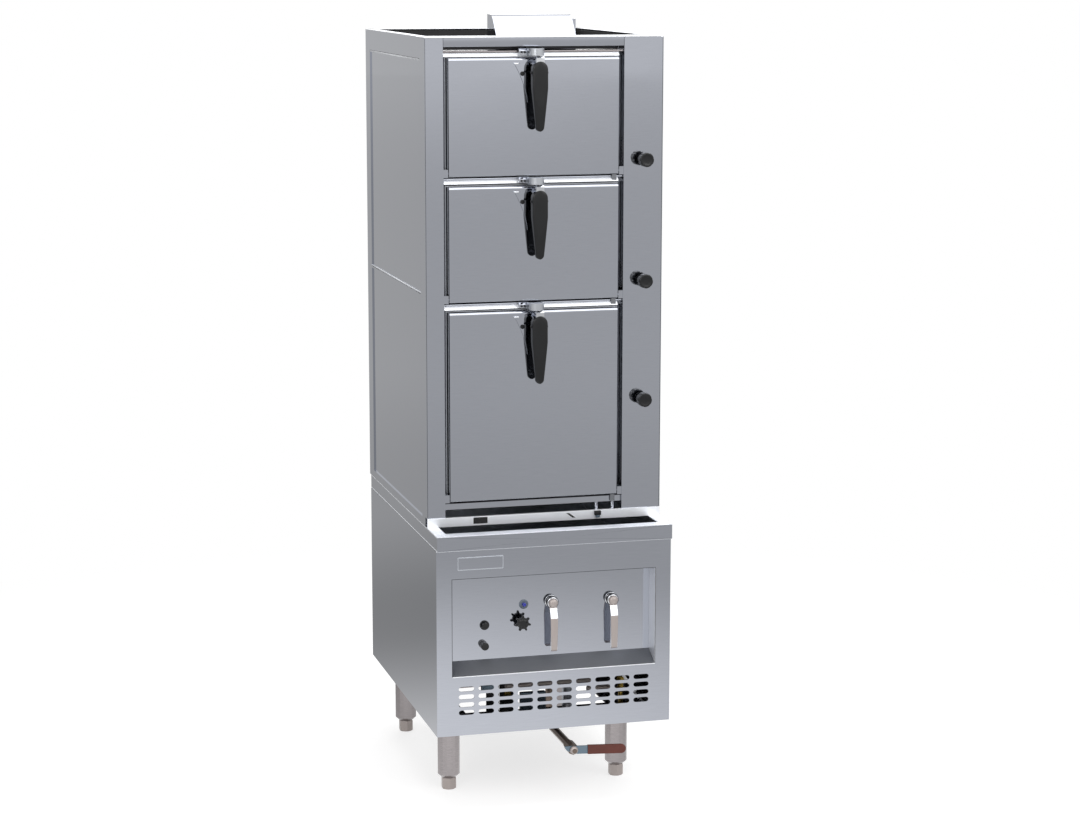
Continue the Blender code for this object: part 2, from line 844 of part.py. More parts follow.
def make_liner():
    inner_left = opening_left + liner_side_margin
    inner_right = opening_right - liner_side_margin
    mouths = [rectangle((inner_left, inner_right), mouth_span(door)) for door in door_names]
    outline = rectangle((opening_left - sheet, opening_right + sheet), (sill_bottom, liner_top))
    face = prism("chamber_liner", "y", (liner_front, liner_front + sheet), outline, mouths)
    box_outer = block("liner_box", (inner_left - sheet, inner_right + sheet),
                      (liner_front + sheet / 2, liner_back), (sill_bottom, liner_top))
    hollow = block("liner_hollow", (inner_left, inner_right), (liner_front + sheet, liner_back - sheet),
                   (sill_bottom - overrun, liner_top - sheet))
    cut(box_outer, hollow)
    for door in door_names:
        bottom, top = mouth_span(door)
        cut(box_outer, block("mouth_" + door, (inner_left, inner_right),
                             (liner_front - overrun, liner_front + 2 * overrun), (bottom, top)))
    join(face, box_outer)
    add_shelves(face, (inner_left - sheet / 2, inner_right + sheet / 2),
                (liner_front + sheet / 2, liner_back - sheet / 2))
    keep(face, "brushed_steel")


def make_flue():
    foot = liner_top + gap
    low_y = front_y + duct_front_depth
    outline = rectangle((duct_left, duct_right), (low_y, low_y + duct_length))
    bore = rectangle((duct_left + sheet, duct_right - sheet), (low_y + sheet, low_y + duct_length - sheet))
    keep(prism("flue_duct", "z", (foot, casing_top + duct_top_rise), outline, [bore]), "brushed_steel")
    face_y = front_y + hood_front_depth
    back_y = face_y + hood_length
    top = casing_top + hood_top_rise
    slope = math.atan2(hood_top_rise, hood_slope_run)
    tangent = hood_bend_radius * math.tan(slope / 2)
    bend_centre = (face_y + hood_slope_run + tangent, top - hood_bend_radius)
    bend_start = 90 + math.degrees(slope)
    outline = [(face_y, foot), (face_y, casing_top)]
    outline += arc(bend_centre, hood_bend_radius, bend_start, 90, 6) + [(back_y, top), (back_y, foot)]
    hood = prism("flue_hood", "x", (hood_left, hood_right), outline)
    inner_fold = casing_top - sheet * math.tan((math.pi / 2 - slope) / 2)
    hollow_outline = [(face_y + sheet, foot - overrun), (face_y + sheet, inner_fold)]
    hollow_outline += arc(bend_centre, hood_bend_radius - sheet, bend_start, 90, 6)
    hollow_outline += [(back_y + overrun, top - sheet), (back_y + overrun, foot - overrun)]
    cut(hood, prism("hood_hollow", "x", (hood_left + sheet, hood_right - sheet), hollow_outline))
    keep(hood, "polished_steel")


def make_doors():
    for door in door_names:
        bottom, top = doors[door]
        hinge = hinge_point(door)
        skin = block("door_skin_" + door, (door_left, door_right), (casing_front, casing_front + skin_depth),
                     (bottom, top))
        rounded(skin, edge_radius)
        cut(skin, block("skin_hollow_" + door, (door_left + sheet, door_right - sheet),
                        (casing_front + sheet, casing_front + skin_depth + overrun),
                        (bottom + sheet, top - sheet)))
        bore = hinge_pin_radius + running_gap
        cut(skin, rod("hinge_bore_" + door, (door_left - overrun, hinge.y, hinge.z),
                      (door_right + overrun, hinge.y, hinge.z), bore))
        keep(skin, "polished_steel", hinge)
        pan_front = casing_front + skin_depth + gap
        pan_back = pan_front + pan_depth
        pan_x = (door_left - pan_overlap, door_right + pan_overlap)
        pan_z = (bottom + pan_foot_rise, top + pan_top_rise)
        pan = block("door_pan_" + door, pan_x, (pan_front, pan_back), pan_z)
        cut(pan, block("pan_hollow_" + door, (pan_x[0] + sheet, pan_x[1] - sheet),
                       (pan_front - overrun, pan_back - sheet), (pan_z[0] + sheet, pan_z[1] - sheet)))
        keep(pan, "brushed_steel", hinge)
        seal_z = (pan_z[0] + sheet, pan_z[1] - sheet)
        seal_x = (pan_x[0] + sheet, pan_x[1] - sheet)
        seal_hole = rectangle((seal_x[0] + seal_width, seal_x[1] - seal_width),
                              (seal_z[0] + seal_width, seal_z[1] - seal_width))
        seal_front = pan_back + gap
        seal_back = liner_front - gap
        seal_edge = rectangle(seal_x, seal_z)
        seal = prism("door_seal_" + door, "y", (seal_front, seal_back), seal_edge, [seal_hole])
        keep(seal, "seal_rubber", hinge)


def latch_pivot(door):
    top = doors[door][1]
    return Vector((latch_centre_x, casing_front - latch_reach, top - handle_drop - handle_pivot_drop))


def handle_outline(centre_x, top, inset):
    """Front view of a handle: round at the top, tapering to a round tip."""
    half = handle_width / 2 - inset
    tip = handle_tip_width / 2 - inset
    shoulder = top - handle_width / 2
    foot = top - handle_length + handle_tip_width / 2
    upper = arc((centre_x, shoulder), half, 0, 180, 10)
    lower = arc((centre_x, foot), tip, 180, 360, 6)
    waist = shoulder - (shoulder - foot) / 3
    return upper + [(centre_x - half, waist)] + lower + [(centre_x + half, waist)]


def make_handle(door, pivot):
    top = pivot.z + handle_pivot_drop
    front = pivot.y - handle_front_reach
    back = front + handle_depth
    handle = prism("latch_handle_" + door, "y", (front, back), handle_outline(pivot.x, top, 0.0))
    hollow = prism("handle_hollow_" + door, "y", (front + handle_wall, back + overrun),
                   handle_outline(pivot.x, top, handle_wall))
    tip_level = top - handle_length - overrun
    shoulder = top - handle_width / 2 - handle_pivot_drop
    slope = [(front + handle_tip_depth, tip_level), (back, shoulder), (back + overrun, shoulder),
             (back + overrun, tip_level)]
    reach = handle_width
    taper = prism("handle_taper_" + door, "x", (pivot.x - reach, pivot.x + reach), slope)
    half_slot = hook_width / 2 + running_gap
    hook_slot = block("hook_slot_" + door, (pivot.x - half_slot, pivot.x + half_slot),
                      (front + handle_wall, back + overrun), (pivot.z + hook_root_rise, top + overrun))
    cut(handle, hollow, taper, hook_slot)
    pin_reach = handle_width / 2 + latch_pin_overhang
    join(handle, rod("latch_pin_" + door, (pivot.x - pin_reach, pivot.y, pivot.z),
                     (pivot.x + pin_reach, pivot.y, pivot.z), latch_pin_radius, sides=12))
    keep(handle, "black_plastic", pivot)


def plate_outline(centre_x, top):
    """A shield: wide at the top, drawn in along two curves to a narrow foot."""
    half = plate_width / 2
    tip = plate_tip_width / 2
    steps = 6
    right = []
    for index in range(steps + 1):
        share = index / steps
        right.append((centre_x + tip + (half - tip) * (1 - share) ** 1.6, top - plate_height * share))
    left = [(2 * centre_x - x, z) for x, z in reversed(right)]
    return right + left


def make_latch_body(door, pivot):
    top = doors[door][1] - plate_drop
    plate_back = casing_front - gap
    plate = prism("latch_body_" + door, "y", (plate_back - plate_thickness, plate_back),
                  plate_outline(plate_centre_x, top))
    root_y = plate_back - plate_thickness / 2
    outline = [(root_y, pivot.z - latch_foot_drop), (pivot.y - latch_nose, pivot.z - latch_foot_drop),
               (pivot.y - latch_nose, pivot.z + latch_nose / 2),
               (pivot.y - latch_nose / 2, pivot.z + latch_nose),
               (pivot.y + latch_pin_radius, pivot.z + latch_nose),
               (pivot.y + latch_pin_radius + latch_top_rise - latch_nose, pivot.z + latch_top_rise),
               (root_y, pivot.z + latch_top_rise)]
    half = hook_width / 2
    body = prism("latch_block_" + door, "x", (pivot.x - half, pivot.x + half), outline)
    join(plate, body)
    reach = hook_width
    cut(plate, rod("latch_bore_" + door, (pivot.x - reach, pivot.y, pivot.z),
                   (pivot.x + reach, pivot.y, pivot.z), latch_pin_radius + running_gap, sides=12))
    keep(plate, "chrome", hinge_point(door))


def make_hook(door, pivot):
    """The tongue behind the handle's top, whose lip lies under the keeper."""
    front = pivot.y - handle_front_reach + handle_wall + gap
    back = front + hook_thickness
    top = pivot.z + hook_top_rise
    outline = [(front, pivot.z + hook_root_rise), (front, top - hook_lip_height),
               (front + hook_lip_height, top), (back + hook_lip, top),
               (back + hook_lip, top - hook_lip_height), (back, top - hook_lip - sheet),
               (back, pivot.z + hook_root_rise)]
    half = hook_width / 2
    hook = prism("latch_hook_" + door, "x", (pivot.x - half, pivot.x + half), outline)
    keep(hook, "chrome", pivot)


def keeper_outline(wall):
    """Plan of a keeper: two legs from the rail joined by a round front, set in by a wall."""
    half = keeper_width / 2 - wall
    bend_y = casing_front - keeper_front_reach + keeper_width / 2
    foot_y = rail_front - gap
    front = arc((keeper_centre_x, bend_y), half, 180, 360, 12)
    return [(keeper_centre_x - half, foot_y), *front, (keeper_centre_x + half, foot_y)]


def make_keeper(door):
    bottom = doors[door][1] + keeper_bottom_rise
    top = bottom + keeper_height
    band = prism("latch_keeper_" + door, "z", (bottom, top), keeper_outline(0.0))
    hollow = prism("keeper_hollow_" + door, "z", (bottom - overrun, top - sheet), keeper_outline(keeper_wall))
    back_y = rail_front - gap
    half_foot = keeper_foot_width / 2
    foot = block("keeper_foot_" + door, (keeper_centre_x - half_foot, keeper_centre_x + half_foot),
                 (back_y - keeper_wall, back_y),
                 (doors[door][1] + rail_clearance_above_door,
                  doors[door][1] + rail_clearance_above_door + keeper_foot_height))
    relief = block("keeper_relief_" + door, (keeper_centre_x - keeper_width, keeper_centre_x + keeper_width),
                   (casing_front - overrun, back_y + overrun), (bottom + keeper_back_height, top + overrun))
    cut(band, hollow, relief)
    join(band, foot)
    return band


def make_latches():
    for door in door_names:
        pivot = latch_pivot(door)
        make_latch_body(door, pivot)
        make_handle(door, pivot)
        make_hook(door, pivot)
        keep(make_keeper(door), "chrome")


def make_steam_knobs():
    valve_front = casing_front + sheet + gap
    outlet_y = liner_front + sheet + gap + knob_stem_radius + valve_back_margin
    valve_back = outlet_y + knob_stem_radius + valve_back_margin
    riser_y = (valve_front + valve_back) / 2
    liner_side = opening_right - liner_side_margin + sheet + gap
    riser_top = knob_heights["upper"] + valve_radius
    riser = rod("steam_valves", (knob_centre_x, riser_y, deck_top + gap), (knob_centre_x, riser_y, riser_top),
                riser_radius)
    for door, level in knob_heights.items():
        face = casing_front - knob_reach
        knob = prism("steam_knob_" + door, "y", (face, face + knob_depth),
                     lobed_outline((knob_centre_x, level), knob_radius - knob_lobe, knob_lobe, knob_lobes))
        stem = rod("knob_stem_" + door, (knob_centre_x, face + knob_depth / 2, level),
                   (knob_centre_x, valve_front - gap, level), knob_stem_radius)
        join(knob, stem)
        keep(knob, "black_plastic", (knob_centre_x, face, level))
        valve = rod("valve_" + door, (knob_centre_x, valve_front, level),
                    (knob_centre_x, valve_back, level), valve_radius)
        outlet = rod("outlet_" + door, (knob_centre_x, outlet_y, level), (liner_side, outlet_y, level),
                     knob_stem_radius)
        join(riser, valve, outlet)
    keep(riser, "brushed_steel")


def make_round_control(name, place, radius, reach, stem_radius, finish, foot_clearance, lobes=None):
    """A button or knob on a stem that passes through the control panel."""
    x, z = place
    head_back = panel_front - gap - foot_clearance
    head_front = panel_front - reach
    if lobes:
        lobe, count = lobes
        waves = lobed_outline(place, radius, lobe, count)
        head = prism(name, "y", (head_front, head_front + gas_wheel_depth), waves)
    else:
        head = rod(name, (x, head_front, z), (x, head_back, z), radius)
    stem = rod(name + "_stem", (x, head_front + (head_back - head_front) / 4, z),
               (x, panel_front + sheet + control_stem_length, z), stem_radius)
    join(head, stem)
    keep(head, finish, (x, head_front, z))


def make_lamp():
    """The lamp's bezel on the control panel, with its lens in front and its socket behind."""
    bezel = rod("indicator_lamp", (lamp_x, panel_front - lamp_thickness, lamp_z),
                (lamp_x, panel_front - gap, lamp_z), lamp_radius)
    lens = rod("lamp_lens", (lamp_x, panel_front - lens_reach, lamp_z),
               (lamp_x, panel_front - lamp_thickness / 2, lamp_z), lens_radius)
    socket = rod("lamp_socket", (lamp_x, panel_front - lamp_thickness / 2, lamp_z),
                 (lamp_x, panel_front + sheet + control_stem_length, lamp_z), control_stem_radius)
    join(bezel, lens, socket)
    keep(bezel, "blue_lamp")


def make_controls():
    make_round_control("igniter_button", (igniter_x, igniter_z), igniter_radius, igniter_reach,
                       igniter_stem_radius, "black_plastic", igniter_travel)
    make_round_control("pilot_knob", (pilot_x, pilot_z), pilot_radius, pilot_reach,
                       control_stem_radius, "black_plastic", 0.0)
    make_round_control("gas_handwheel", (gas_wheel_x, gas_wheel_z), gas_wheel_radius, gas_wheel_reach,
                       control_stem_radius, "black_plastic", 0.0, (gas_wheel_lobe, gas_wheel_lobes))
    make_lamp()


def make_taps():
    for side, (x, z) in tap_places.items():
        hub = rod("tap_body_" + side, (x, panel_front - tap_reach, z), (x, panel_front - gap, z), tap_radius)
        boss = rod("tap_boss_" + side, (x, panel_front - tap_boss_reach, z),
                   (x, panel_front - tap_reach / 2, z), tap_boss_radius)
        spindle = rod("tap_spindle_" + side, (x, panel_front - tap_reach / 2, z),
                      (x, panel_front + tap_spindle_length, z), tap_spindle_radius)
        join(hub, boss, spindle)
        keep(hub, "chrome")
        back = panel_front - tap_reach - gap
        low_back = panel_front - tap_lever_front_reach + tap_lever_thickness
        lip_level = z - tap_lever_length + tap_lever_thickness
        folds = [(low_back + tap_lever_lip, lip_level), (low_back, lip_level),
                 (low_back, z - tap_lever_bend_low), (back, z - tap_lever_bend_high),
                 (back, z + tap_lever_top_rise)]
        half = tap_lever_width / 2
        lever = prism("tap_lever_" + side, "x", (x - half, x + half), bent_sheet(folds, -tap_lever_thickness))
        cut(lever, rod("lever_bore_" + side, (x, panel_front - tap_lever_front_reach - overrun, z),
                       (x, panel_front, z), tap_boss_radius + running_gap))
        keep(lever, "brushed_steel", (x, back, z))


def quarter_bend(corner, toward_start, toward_end, radius, steps=6):
    """Points of a round bend at a right-angled corner of a pipe."""
    corner = Vector(corner)
    start, end = Vector(toward_start), Vector(toward_end)
    centre = corner + (start + end) * radius
    points = []
    for index in range(steps + 1):
        turn = math.pi / 2 * index / steps
        points.append(tuple(centre - end * radius * math.cos(turn) - start * radius * math.sin(turn)))
    return points


def make_burner(tank_bottom):
    centre_y = front_y + burner_centre_depth
    top = tank_bottom - burner_top_gap
    bottom = top - burner_height
    ring_outer = rod("burner", (0, centre_y, bottom), (0, centre_y, top), burner_radius,
                     burner_radius - burner_post_inset / 2, sides=28)
    cut(ring_outer, rod("burner_bore", (0, centre_y, bottom - overrun), (0, centre_y, top + overrun),
                        burner_bore, sides=20))
    post_reach = burner_radius - burner_post_inset
    for x in (-post_reach, post_reach):
        join(ring_outer, rod("burner_post", (x, centre_y, base_bottom + sheet + gap),
                             (x, centre_y, top - burner_height / 2), burner_post_radius, sides=10))
    keep(ring_outer, "cast_iron")
    pipe_y = front_y + gas_pipe_depth
    level = (bottom + top) / 2
    line = pipe("gas_pipework", [(gas_wheel_x, pipe_y, gas_wheel_z), (gas_line_x, pipe_y, gas_wheel_z),
                                 (gas_line_x, base_back + gas_tail_reach, gas_wheel_z)], gas_pipe_radius)
    valve_start = panel_front + sheet + control_stem_length + gap
    valve = rod("gas_valve", (gas_wheel_x, valve_start, gas_wheel_z),
                (gas_wheel_x, pipe_y + gas_pipe_radius, gas_wheel_z), gas_wheel_radius)
    feed = pipe("burner_feed", [(gas_line_x, centre_y, gas_wheel_z), (gas_line_x, centre_y, level),
                                (-burner_radius - gap, centre_y, level)], gas_pipe_radius - running_gap)
    join(line, valve, feed)
    keep(line, "brass")


def make_drain(tank_bottom):
    valve_y = (front_y + drain_valve_front, front_y + drain_valve_back)
    corner = (drain_x, front_y + drain_bend_depth, drain_z)
    bend = quarter_bend(corner, (0, -1, 0), (0, 0, 1), drain_bend_radius)
    run = [(drain_x, valve_y[0] + drain_valve_radius, drain_z), *bend,
           (drain_x, front_y + drain_bend_depth, tank_bottom - gap)]
    line = pipe("drain_valve", run, drain_pipe_radius)
    body = rod("valve_body", (drain_x, valve_y[0], drain_z), (drain_x, valve_y[1], drain_z),
               drain_valve_radius, sides=8)
    spindle = rod("valve_spindle", (drain_x, front_y - drain_nut_reach, drain_z),
                  (drain_x, valve_y[1], drain_z), drain_spindle_radius)
    join(line, body, spindle)
    keep(line, "brushed_steel")
    pivot = Vector((drain_x, front_y, drain_z))
    lever_back = valve_y[0] - gap
    lever_front = lever_back - drain_lever_thickness
    fall = drain_lever_droop_share * drain_lever_grip_start
    half = drain_lever_width / 2
    left = drain_x - drain_lever_reach_left
    grip_x = drain_x + drain_lever_grip_start
    lever_end = drain_x + drain_lever_length - drain_lever_width
    fall_end = drain_lever_droop_share * drain_lever_length
    outline = [(left, drain_z + half), (left + half / 2, drain_z), (drain_x, drain_z - half),
               (grip_x, drain_z - half - fall), (lever_end, drain_z - half / 2 - fall_end),
               (lever_end, drain_z + half / 2 - fall_end), (grip_x, drain_z + half - fall),
               (drain_x, drain_z + half)]
    lever = prism("drain_lever", "y", (lever_front, lever_back), outline)
    cut(lever, rod("drain_lever_bore", (drain_x, lever_front - overrun, drain_z),
                   (drain_x, lever_back + overrun, drain_z), drain_spindle_radius + running_gap))
    half_grip = drain_grip_width / 2
    end_x = drain_x + drain_lever_length
    middle_y = (lever_front + lever_back) / 2
    grip_outline = [(grip_x + gap, drain_z - half_grip - fall)]
    grip_outline += arc((end_x - half_grip, drain_z - fall_end), half_grip, -90, 90, 8)
    grip_outline += [(grip_x + gap, drain_z + half_grip - fall)]
    thick = drain_grip_thickness / 2
    grip = prism("drain_lever_sleeve", "y", (middle_y - thick, middle_y + thick), grip_outline)
    pocket_outline = [(grip_x - overrun, drain_z - half - fall - gap),
                      (lever_end + gap, drain_z - half - fall_end),
                      (lever_end + gap, drain_z + half - fall_end),
                      (grip_x - overrun, drain_z + half - fall + gap)]
    cut(grip, prism("sleeve_pocket", "y", (lever_front - gap, lever_back + gap), pocket_outline))
    keep(lever, "zinc_blue", pivot)
    keep(grip, "red_brown_sleeve", pivot)


make_base_wrapper()
make_base_floor()
make_fascia()
make_control_panel()
make_deck()
tank_floor = make_tank()
make_casing_sides()
make_casing_back()
make_stiles()
make_rails()
make_liner()
make_flue()
make_doors()
make_latches()
make_steam_knobs()
make_controls()
make_taps()
make_burner(tank_floor)
make_drain(tank_floor)
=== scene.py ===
"""Looks of the gas steamer cabinet: polished sheet steel, black handles, chrome taps and a blue lamp."""

import math

import bmesh
import bpy
import numpy as np
from mathutils import Matrix, Vector


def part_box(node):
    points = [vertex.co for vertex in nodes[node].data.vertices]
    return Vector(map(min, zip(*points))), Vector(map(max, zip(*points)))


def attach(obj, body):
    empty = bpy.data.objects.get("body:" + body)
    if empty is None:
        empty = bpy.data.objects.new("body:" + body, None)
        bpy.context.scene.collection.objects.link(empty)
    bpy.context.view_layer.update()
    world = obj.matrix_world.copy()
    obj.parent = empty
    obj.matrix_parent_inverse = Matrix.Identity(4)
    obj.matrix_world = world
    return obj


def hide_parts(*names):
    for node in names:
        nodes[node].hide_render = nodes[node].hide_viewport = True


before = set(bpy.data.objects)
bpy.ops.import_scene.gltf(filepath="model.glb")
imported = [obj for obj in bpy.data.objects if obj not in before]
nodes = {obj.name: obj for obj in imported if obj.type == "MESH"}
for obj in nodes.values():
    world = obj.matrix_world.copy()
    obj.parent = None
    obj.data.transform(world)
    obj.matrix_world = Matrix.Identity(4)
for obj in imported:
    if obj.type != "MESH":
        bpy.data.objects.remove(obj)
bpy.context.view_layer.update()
MM = 0.001
doors = ("lower", "middle", "upper")
sides = ((-1, "left"), (1, "right"))
rightward, backward, upward = (1, 0, 0), (0, 1, 0), (0, 0, 1)
panel_front = -350.5 * MM
white, black = (1.0, 1.0, 1.0, 1.0), (0.0, 0.0, 0.0, 1.0)


# Colours and materials


def linear(code):
    """sRGB hex to linear: below 0.04045 a division, above it a power of 2.4."""
    values = np.array([int(code[i : i + 2], 16) for i in (1, 3, 5)]) / 255
    curved = ((values + 0.055) / 1.055) ** 2.4
    return (*np.where(values <= 0.04045, values / 12.92, curved).tolist(), 1.0)


def add_node(tree, kind, settings=None, **inputs):
    """Adds a node; an input is a constant, or an output socket that is linked to it."""
    node = tree.nodes.new(kind)
    for key, value in (settings or {}).items():
        setattr(node, key, value)
    for key, value in inputs.items():
        place = int(key[1:]) if key[0] == "i" and key[1:].isdigit() else key.replace("_", " ")
        if isinstance(value, bpy.types.NodeSocket):
            tree.links.new(value, node.inputs[place])
        else:
            node.inputs[place].default_value = value
    return node


def new_material(name):
    """An empty material, its node tree, and the place on the object as a socket."""
    material = bpy.data.materials.new(name)
    material.use_nodes = True
    tree = material.node_tree
    tree.nodes.clear()
    return material, tree, add_node(tree, "ShaderNodeTexCoord").outputs["Object"]


def surface(tree, colour, grain, bump, **inputs):
    """The shader at the end of a tree, its relief raised by the grain."""
    relief = add_node(tree, "ShaderNodeBump", Height=grain, Strength=bump, Distance=0.1 * MM)
    shader = add_node(tree, "ShaderNodeBsdfPrincipled", Base_Color=colour, Normal=relief.outputs[0], **inputs)
    add_node(tree, "ShaderNodeOutputMaterial", Surface=shader.outputs[0])


def noise(tree, place, scale, detail, roughness=0.5):
    return add_node(tree, "ShaderNodeTexNoise", Vector=place, Scale=scale, Detail=detail,
                    Roughness=roughness).outputs["Fac"]


def blend(tree, share, first, second):
    return add_node(tree, "ShaderNodeMix", {"data_type": "RGBA"}, i0=share, i6=first, i7=second).outputs[2]


def metal(name, dark, light, roughness, grain_mm, stretch, bump, smudge=0.04, metallic=1.0):
    """Sheet or turned metal. Fine grain lines, stretched along one axis, vary colour and bump;
    broad soft patches, as wiping leaves them, vary the roughness."""
    material, tree, place = new_material(name)
    turned = add_node(tree, "ShaderNodeMapping", Vector=place, Scale=stretch).outputs[0]
    grain = noise(tree, turned, 1 / (grain_mm * MM), 3.0, 0.6)
    rough = add_node(tree, "ShaderNodeMapRange", Value=noise(tree, place, 7.0, 4.0), From_Min=0.3,
                     From_Max=0.7, To_Min=roughness - smudge / 2, To_Max=roughness + smudge / 2)
    colour = blend(tree, grain, linear(dark), linear(light))
    surface(tree, colour, grain, bump, Metallic=metallic, Roughness=rough.outputs[0])
    return material


def plastic(name, dark, light, roughness, grain_mm, bump, coat=0.0, level=0.5):
    """Moulded plastic or rubber: a fine spark-eroded grain in colour and bump, one gloss all over."""
    material, tree, place = new_material(name)
    grain = noise(tree, place, 1 / (grain_mm * MM), 4.0)
    colour = blend(tree, noise(tree, place, 25.0, 2.0), linear(dark), linear(light))
    surface(tree, colour, grain, bump, Roughness=roughness, Coat_Weight=coat, Coat_Roughness=0.1,
            Specular_IOR_Level=level)
    return material


# The ways that grain runs: along X, or none
lengthways, all_ways = (0.03, 1.0, 1.0), (1.0, 1.0, 1.0)
# Stainless sheet, mirror polished: it shows the room, with a breath of sideways grain
polished_steel = metal("polished_stainless_sheet", "#A9ACB4", "#B3B6BE", 0.05, 1.2, lengthways, 0.01)
# Stainless tube, belt brushed round: a warmer, duller grey with close rings
brushed_steel = metal("brushed_stainless_tube", "#858082", "#B2ACAC", 0.22, 0.9, (0.05, 0.05, 1.0),
                      0.25, 0.08)
# Stainless sheet, satin, its near white a painted highlight: flanges, drips and bends that catch the light
# from above; on the tap lever's shaded back it is painted light
painted_light_steel = metal("painted_light_stainless", "#EEF0F4", "#F6F8FC", 0.5, 1.2, lengthways, 0.05, 0.05)
# Stainless sheet, mill finish, blurred reflections: liner, tank, door pans, keeper bands
chamber_steel = metal("mill_finish_stainless_lining", "#B4B7BC", "#C2C5CA", 0.32, 1.2, lengthways, 0.04)
# Stainless sill and door stops: dull grey that mirrors nothing; the recess sill's dark grey is painted shade
# of the recess floor
dull_steel_and_painted_shade = metal("dull_stainless_and_painted_shade", "#75777B", "#818387", 0.55, 0.9, lengthways, 0.15, 0.1)
# Painted shade: near black for the holes of the upstand, and for the board and linings over the chamber,
# where the inside lies in shade
painted_shade_black = plastic("painted_shade_inside", "#0B0B0C", "#141416", 0.6, 1.0, 0.1)
# Electroplated chrome: a hard mirror, near white
chrome = metal("chrome_plate", "#C4C6CA", "#D6D8DC", 0.05, 2.0, all_ways, 0.02)
# Sand-cast iron: almost black, rough and pitted
cast_iron = metal("cast_iron", "#1C1C1E", "#38363A", 0.65, 2.2, all_ways, 0.6)
# Turned brass: yellow, softly shining
brass = metal("turned_brass", "#A88A3C", "#CDB05C", 0.25, 1.0, (1.0, 1.0, 0.1), 0.15)
# Blue-passivated zinc on pressed steel: blue-grey with a faint bloom
zinc = metal("blue_zinc_plate", "#5B6B78", "#7F8F9B", 0.35, 1.4, all_ways, 0.12, 0.12)
# Copper and steel pipe, dulled by heat: brown-grey
heated_pipe = metal("heat_dulled_pipe", "#5A504A", "#8A7C72", 0.35, 1.5, (1.0, 0.1, 1.0), 0.15, 0.1)
# Phenolic handle: deep black, half gloss
black_plastic = plastic("black_phenolic", "#090A0C", "#131417", 0.28, 0.6, 0.10, level=0.42)
# Silicone seal: dark grey, dull
seal_rubber = plastic("dark_silicone_seal", "#202022", "#2C2C2E", 0.6, 0.8, 0.2)
# Dipped vinyl sleeve: dark red-brown, satin
sleeve_vinyl = plastic("red_brown_vinyl", "#54261D", "#6E352A", 0.42, 0.8, 0.15)
# Blue polycarbonate lens: clear, glossy, lit from behind
lamp_blue = plastic("blue_lamp_lens", "#101C8C", "#2436C8", 0.12, 1.0, 0.0, 0.6)
# Blackened steel: pins, screws, seams and brackets; also painted shade in the dark line down each front
# corner, the outline of the control recess and the strip at the back of the header's slot
dark_steel_and_painted_shade = metal("blackened_steel_and_painted_shade", "#2A2A2C", "#4A4A4C", 0.35, 1.0, all_ways, 0.15)
# Stainless bar, brushed along its length: tap levers, feet, the gas manifold
lever_steel = metal("brushed_stainless_bar", "#B0A6A2", "#C2B8B4", 0.40, 0.8, (1.0, 1.0, 0.04),
                    0.2, 0.06, 0.35)
# Bright annealed sheet, a little paler than the mirror sheet: the badge's frame, the gas riser
bright_steel = metal("bright_annealed_sheet", "#C2C6CE", "#CCD0D8", 0.30, 1.0, (0.05, 1.0, 1.0),
                     0.1, 0.05, 0.8)
# Smoked translucent bezel under the lens: flat grey-blue
lamp_smoke = plastic("smoked_lamp_bezel", "#5E6874", "#6C7682", 0.35, 1.0, 0.05)

# Finish of the shown nodes whose names begin so; the last that fits counts, the rest is polished
finishes = {
    "base_floor_and_legs": brushed_steel,
    "burner": cast_iron,
    "gas_pipework": brass,
    "drain_valve": heated_pipe,
    "drain_lever": zinc,
    "drain_lever_sleeve": sleeve_vinyl,
    "steam_valves": heated_pipe,
    "latch_hook": chrome,
    "door_seal": seal_rubber,
    "door_pan": chamber_steel,
    "chamber_liner": chamber_steel,
    "water_tank": chamber_steel,
}
for name, node in nodes.items():
    fitting = [finish for start, finish in finishes.items() if name.startswith(start)]
    node.data.materials.clear()
    node.data.materials.append(fitting[-1] if fitting else polished_steel)


# Shapes worked out on grids


def add_piece(name, rings, material, body="cabinet", slot="polished_steel", stood=(), ends="fans", sharp=40):
    """A closed surface through rows of points (row, column, xyz): each point is joined to the next
    in its row and to the same one in the next row. An end row is closed by a fan on its middle,
    or by merging its halves where it is folded flat, or the last row joins the first. The sum of
    the signed volumes of its triangles with the origin tells whether it is inside out, and then
    its faces are turned."""
    rings = np.asarray(rings, float)
    rows, columns = rings.shape[:2]
    last = rows if ends == "round" else rows - 1
    a = np.arange(last)[:, None] * columns
    b = (np.arange(1, last + 1) % rows)[:, None] * columns
    c = np.arange(columns)[None, :]
    d = (c + 1) % columns
    quads = np.stack([a + c, a + d, b + d, b + c], -1).reshape(-1, 4)
    points = rings.reshape(-1, 3)
    triangles = np.concatenate([quads[:, [0, 1, 2]], quads[:, [0, 2, 3]]])
    faces = quads.tolist()
    if ends == "fans":
        points = np.concatenate([points, rings[:1].mean(1), rings[-1:].mean(1)])
        top = len(points) - 2
        first = np.stack([d[0], c[0], np.full(columns, top)], -1)
        final = np.stack([c[0] + a[-1] + columns, d[0] + a[-1] + columns, np.full(columns, top + 1)], -1)
        triangles = np.concatenate([triangles, first, final])
        faces += first.tolist() + final.tolist()
    corners = points[triangles]
    volume = np.einsum("ij,ij->", corners[:, 0], np.cross(corners[:, 1], corners[:, 2]))
    if volume < 0:
        faces = [face[::-1] for face in faces]
    mesh = bpy.data.meshes.new(name)
    mesh.from_pydata(points.tolist(), [], faces)
    work = bmesh.new()
    work.from_mesh(mesh)
    bmesh.ops.remove_doubles(work, verts=work.verts, dist=1e-6)
    work.to_mesh(mesh)
    work.free()
    mesh.materials.append(material)
    mesh.shade_smooth()
    mesh.set_sharp_from_angle(angle=math.radians(sharp))
    piece = bpy.data.objects.new(name, mesh)
    bpy.context.scene.collection.objects.link(piece)
    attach(piece, body)
    for node in stood:
        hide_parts(node)


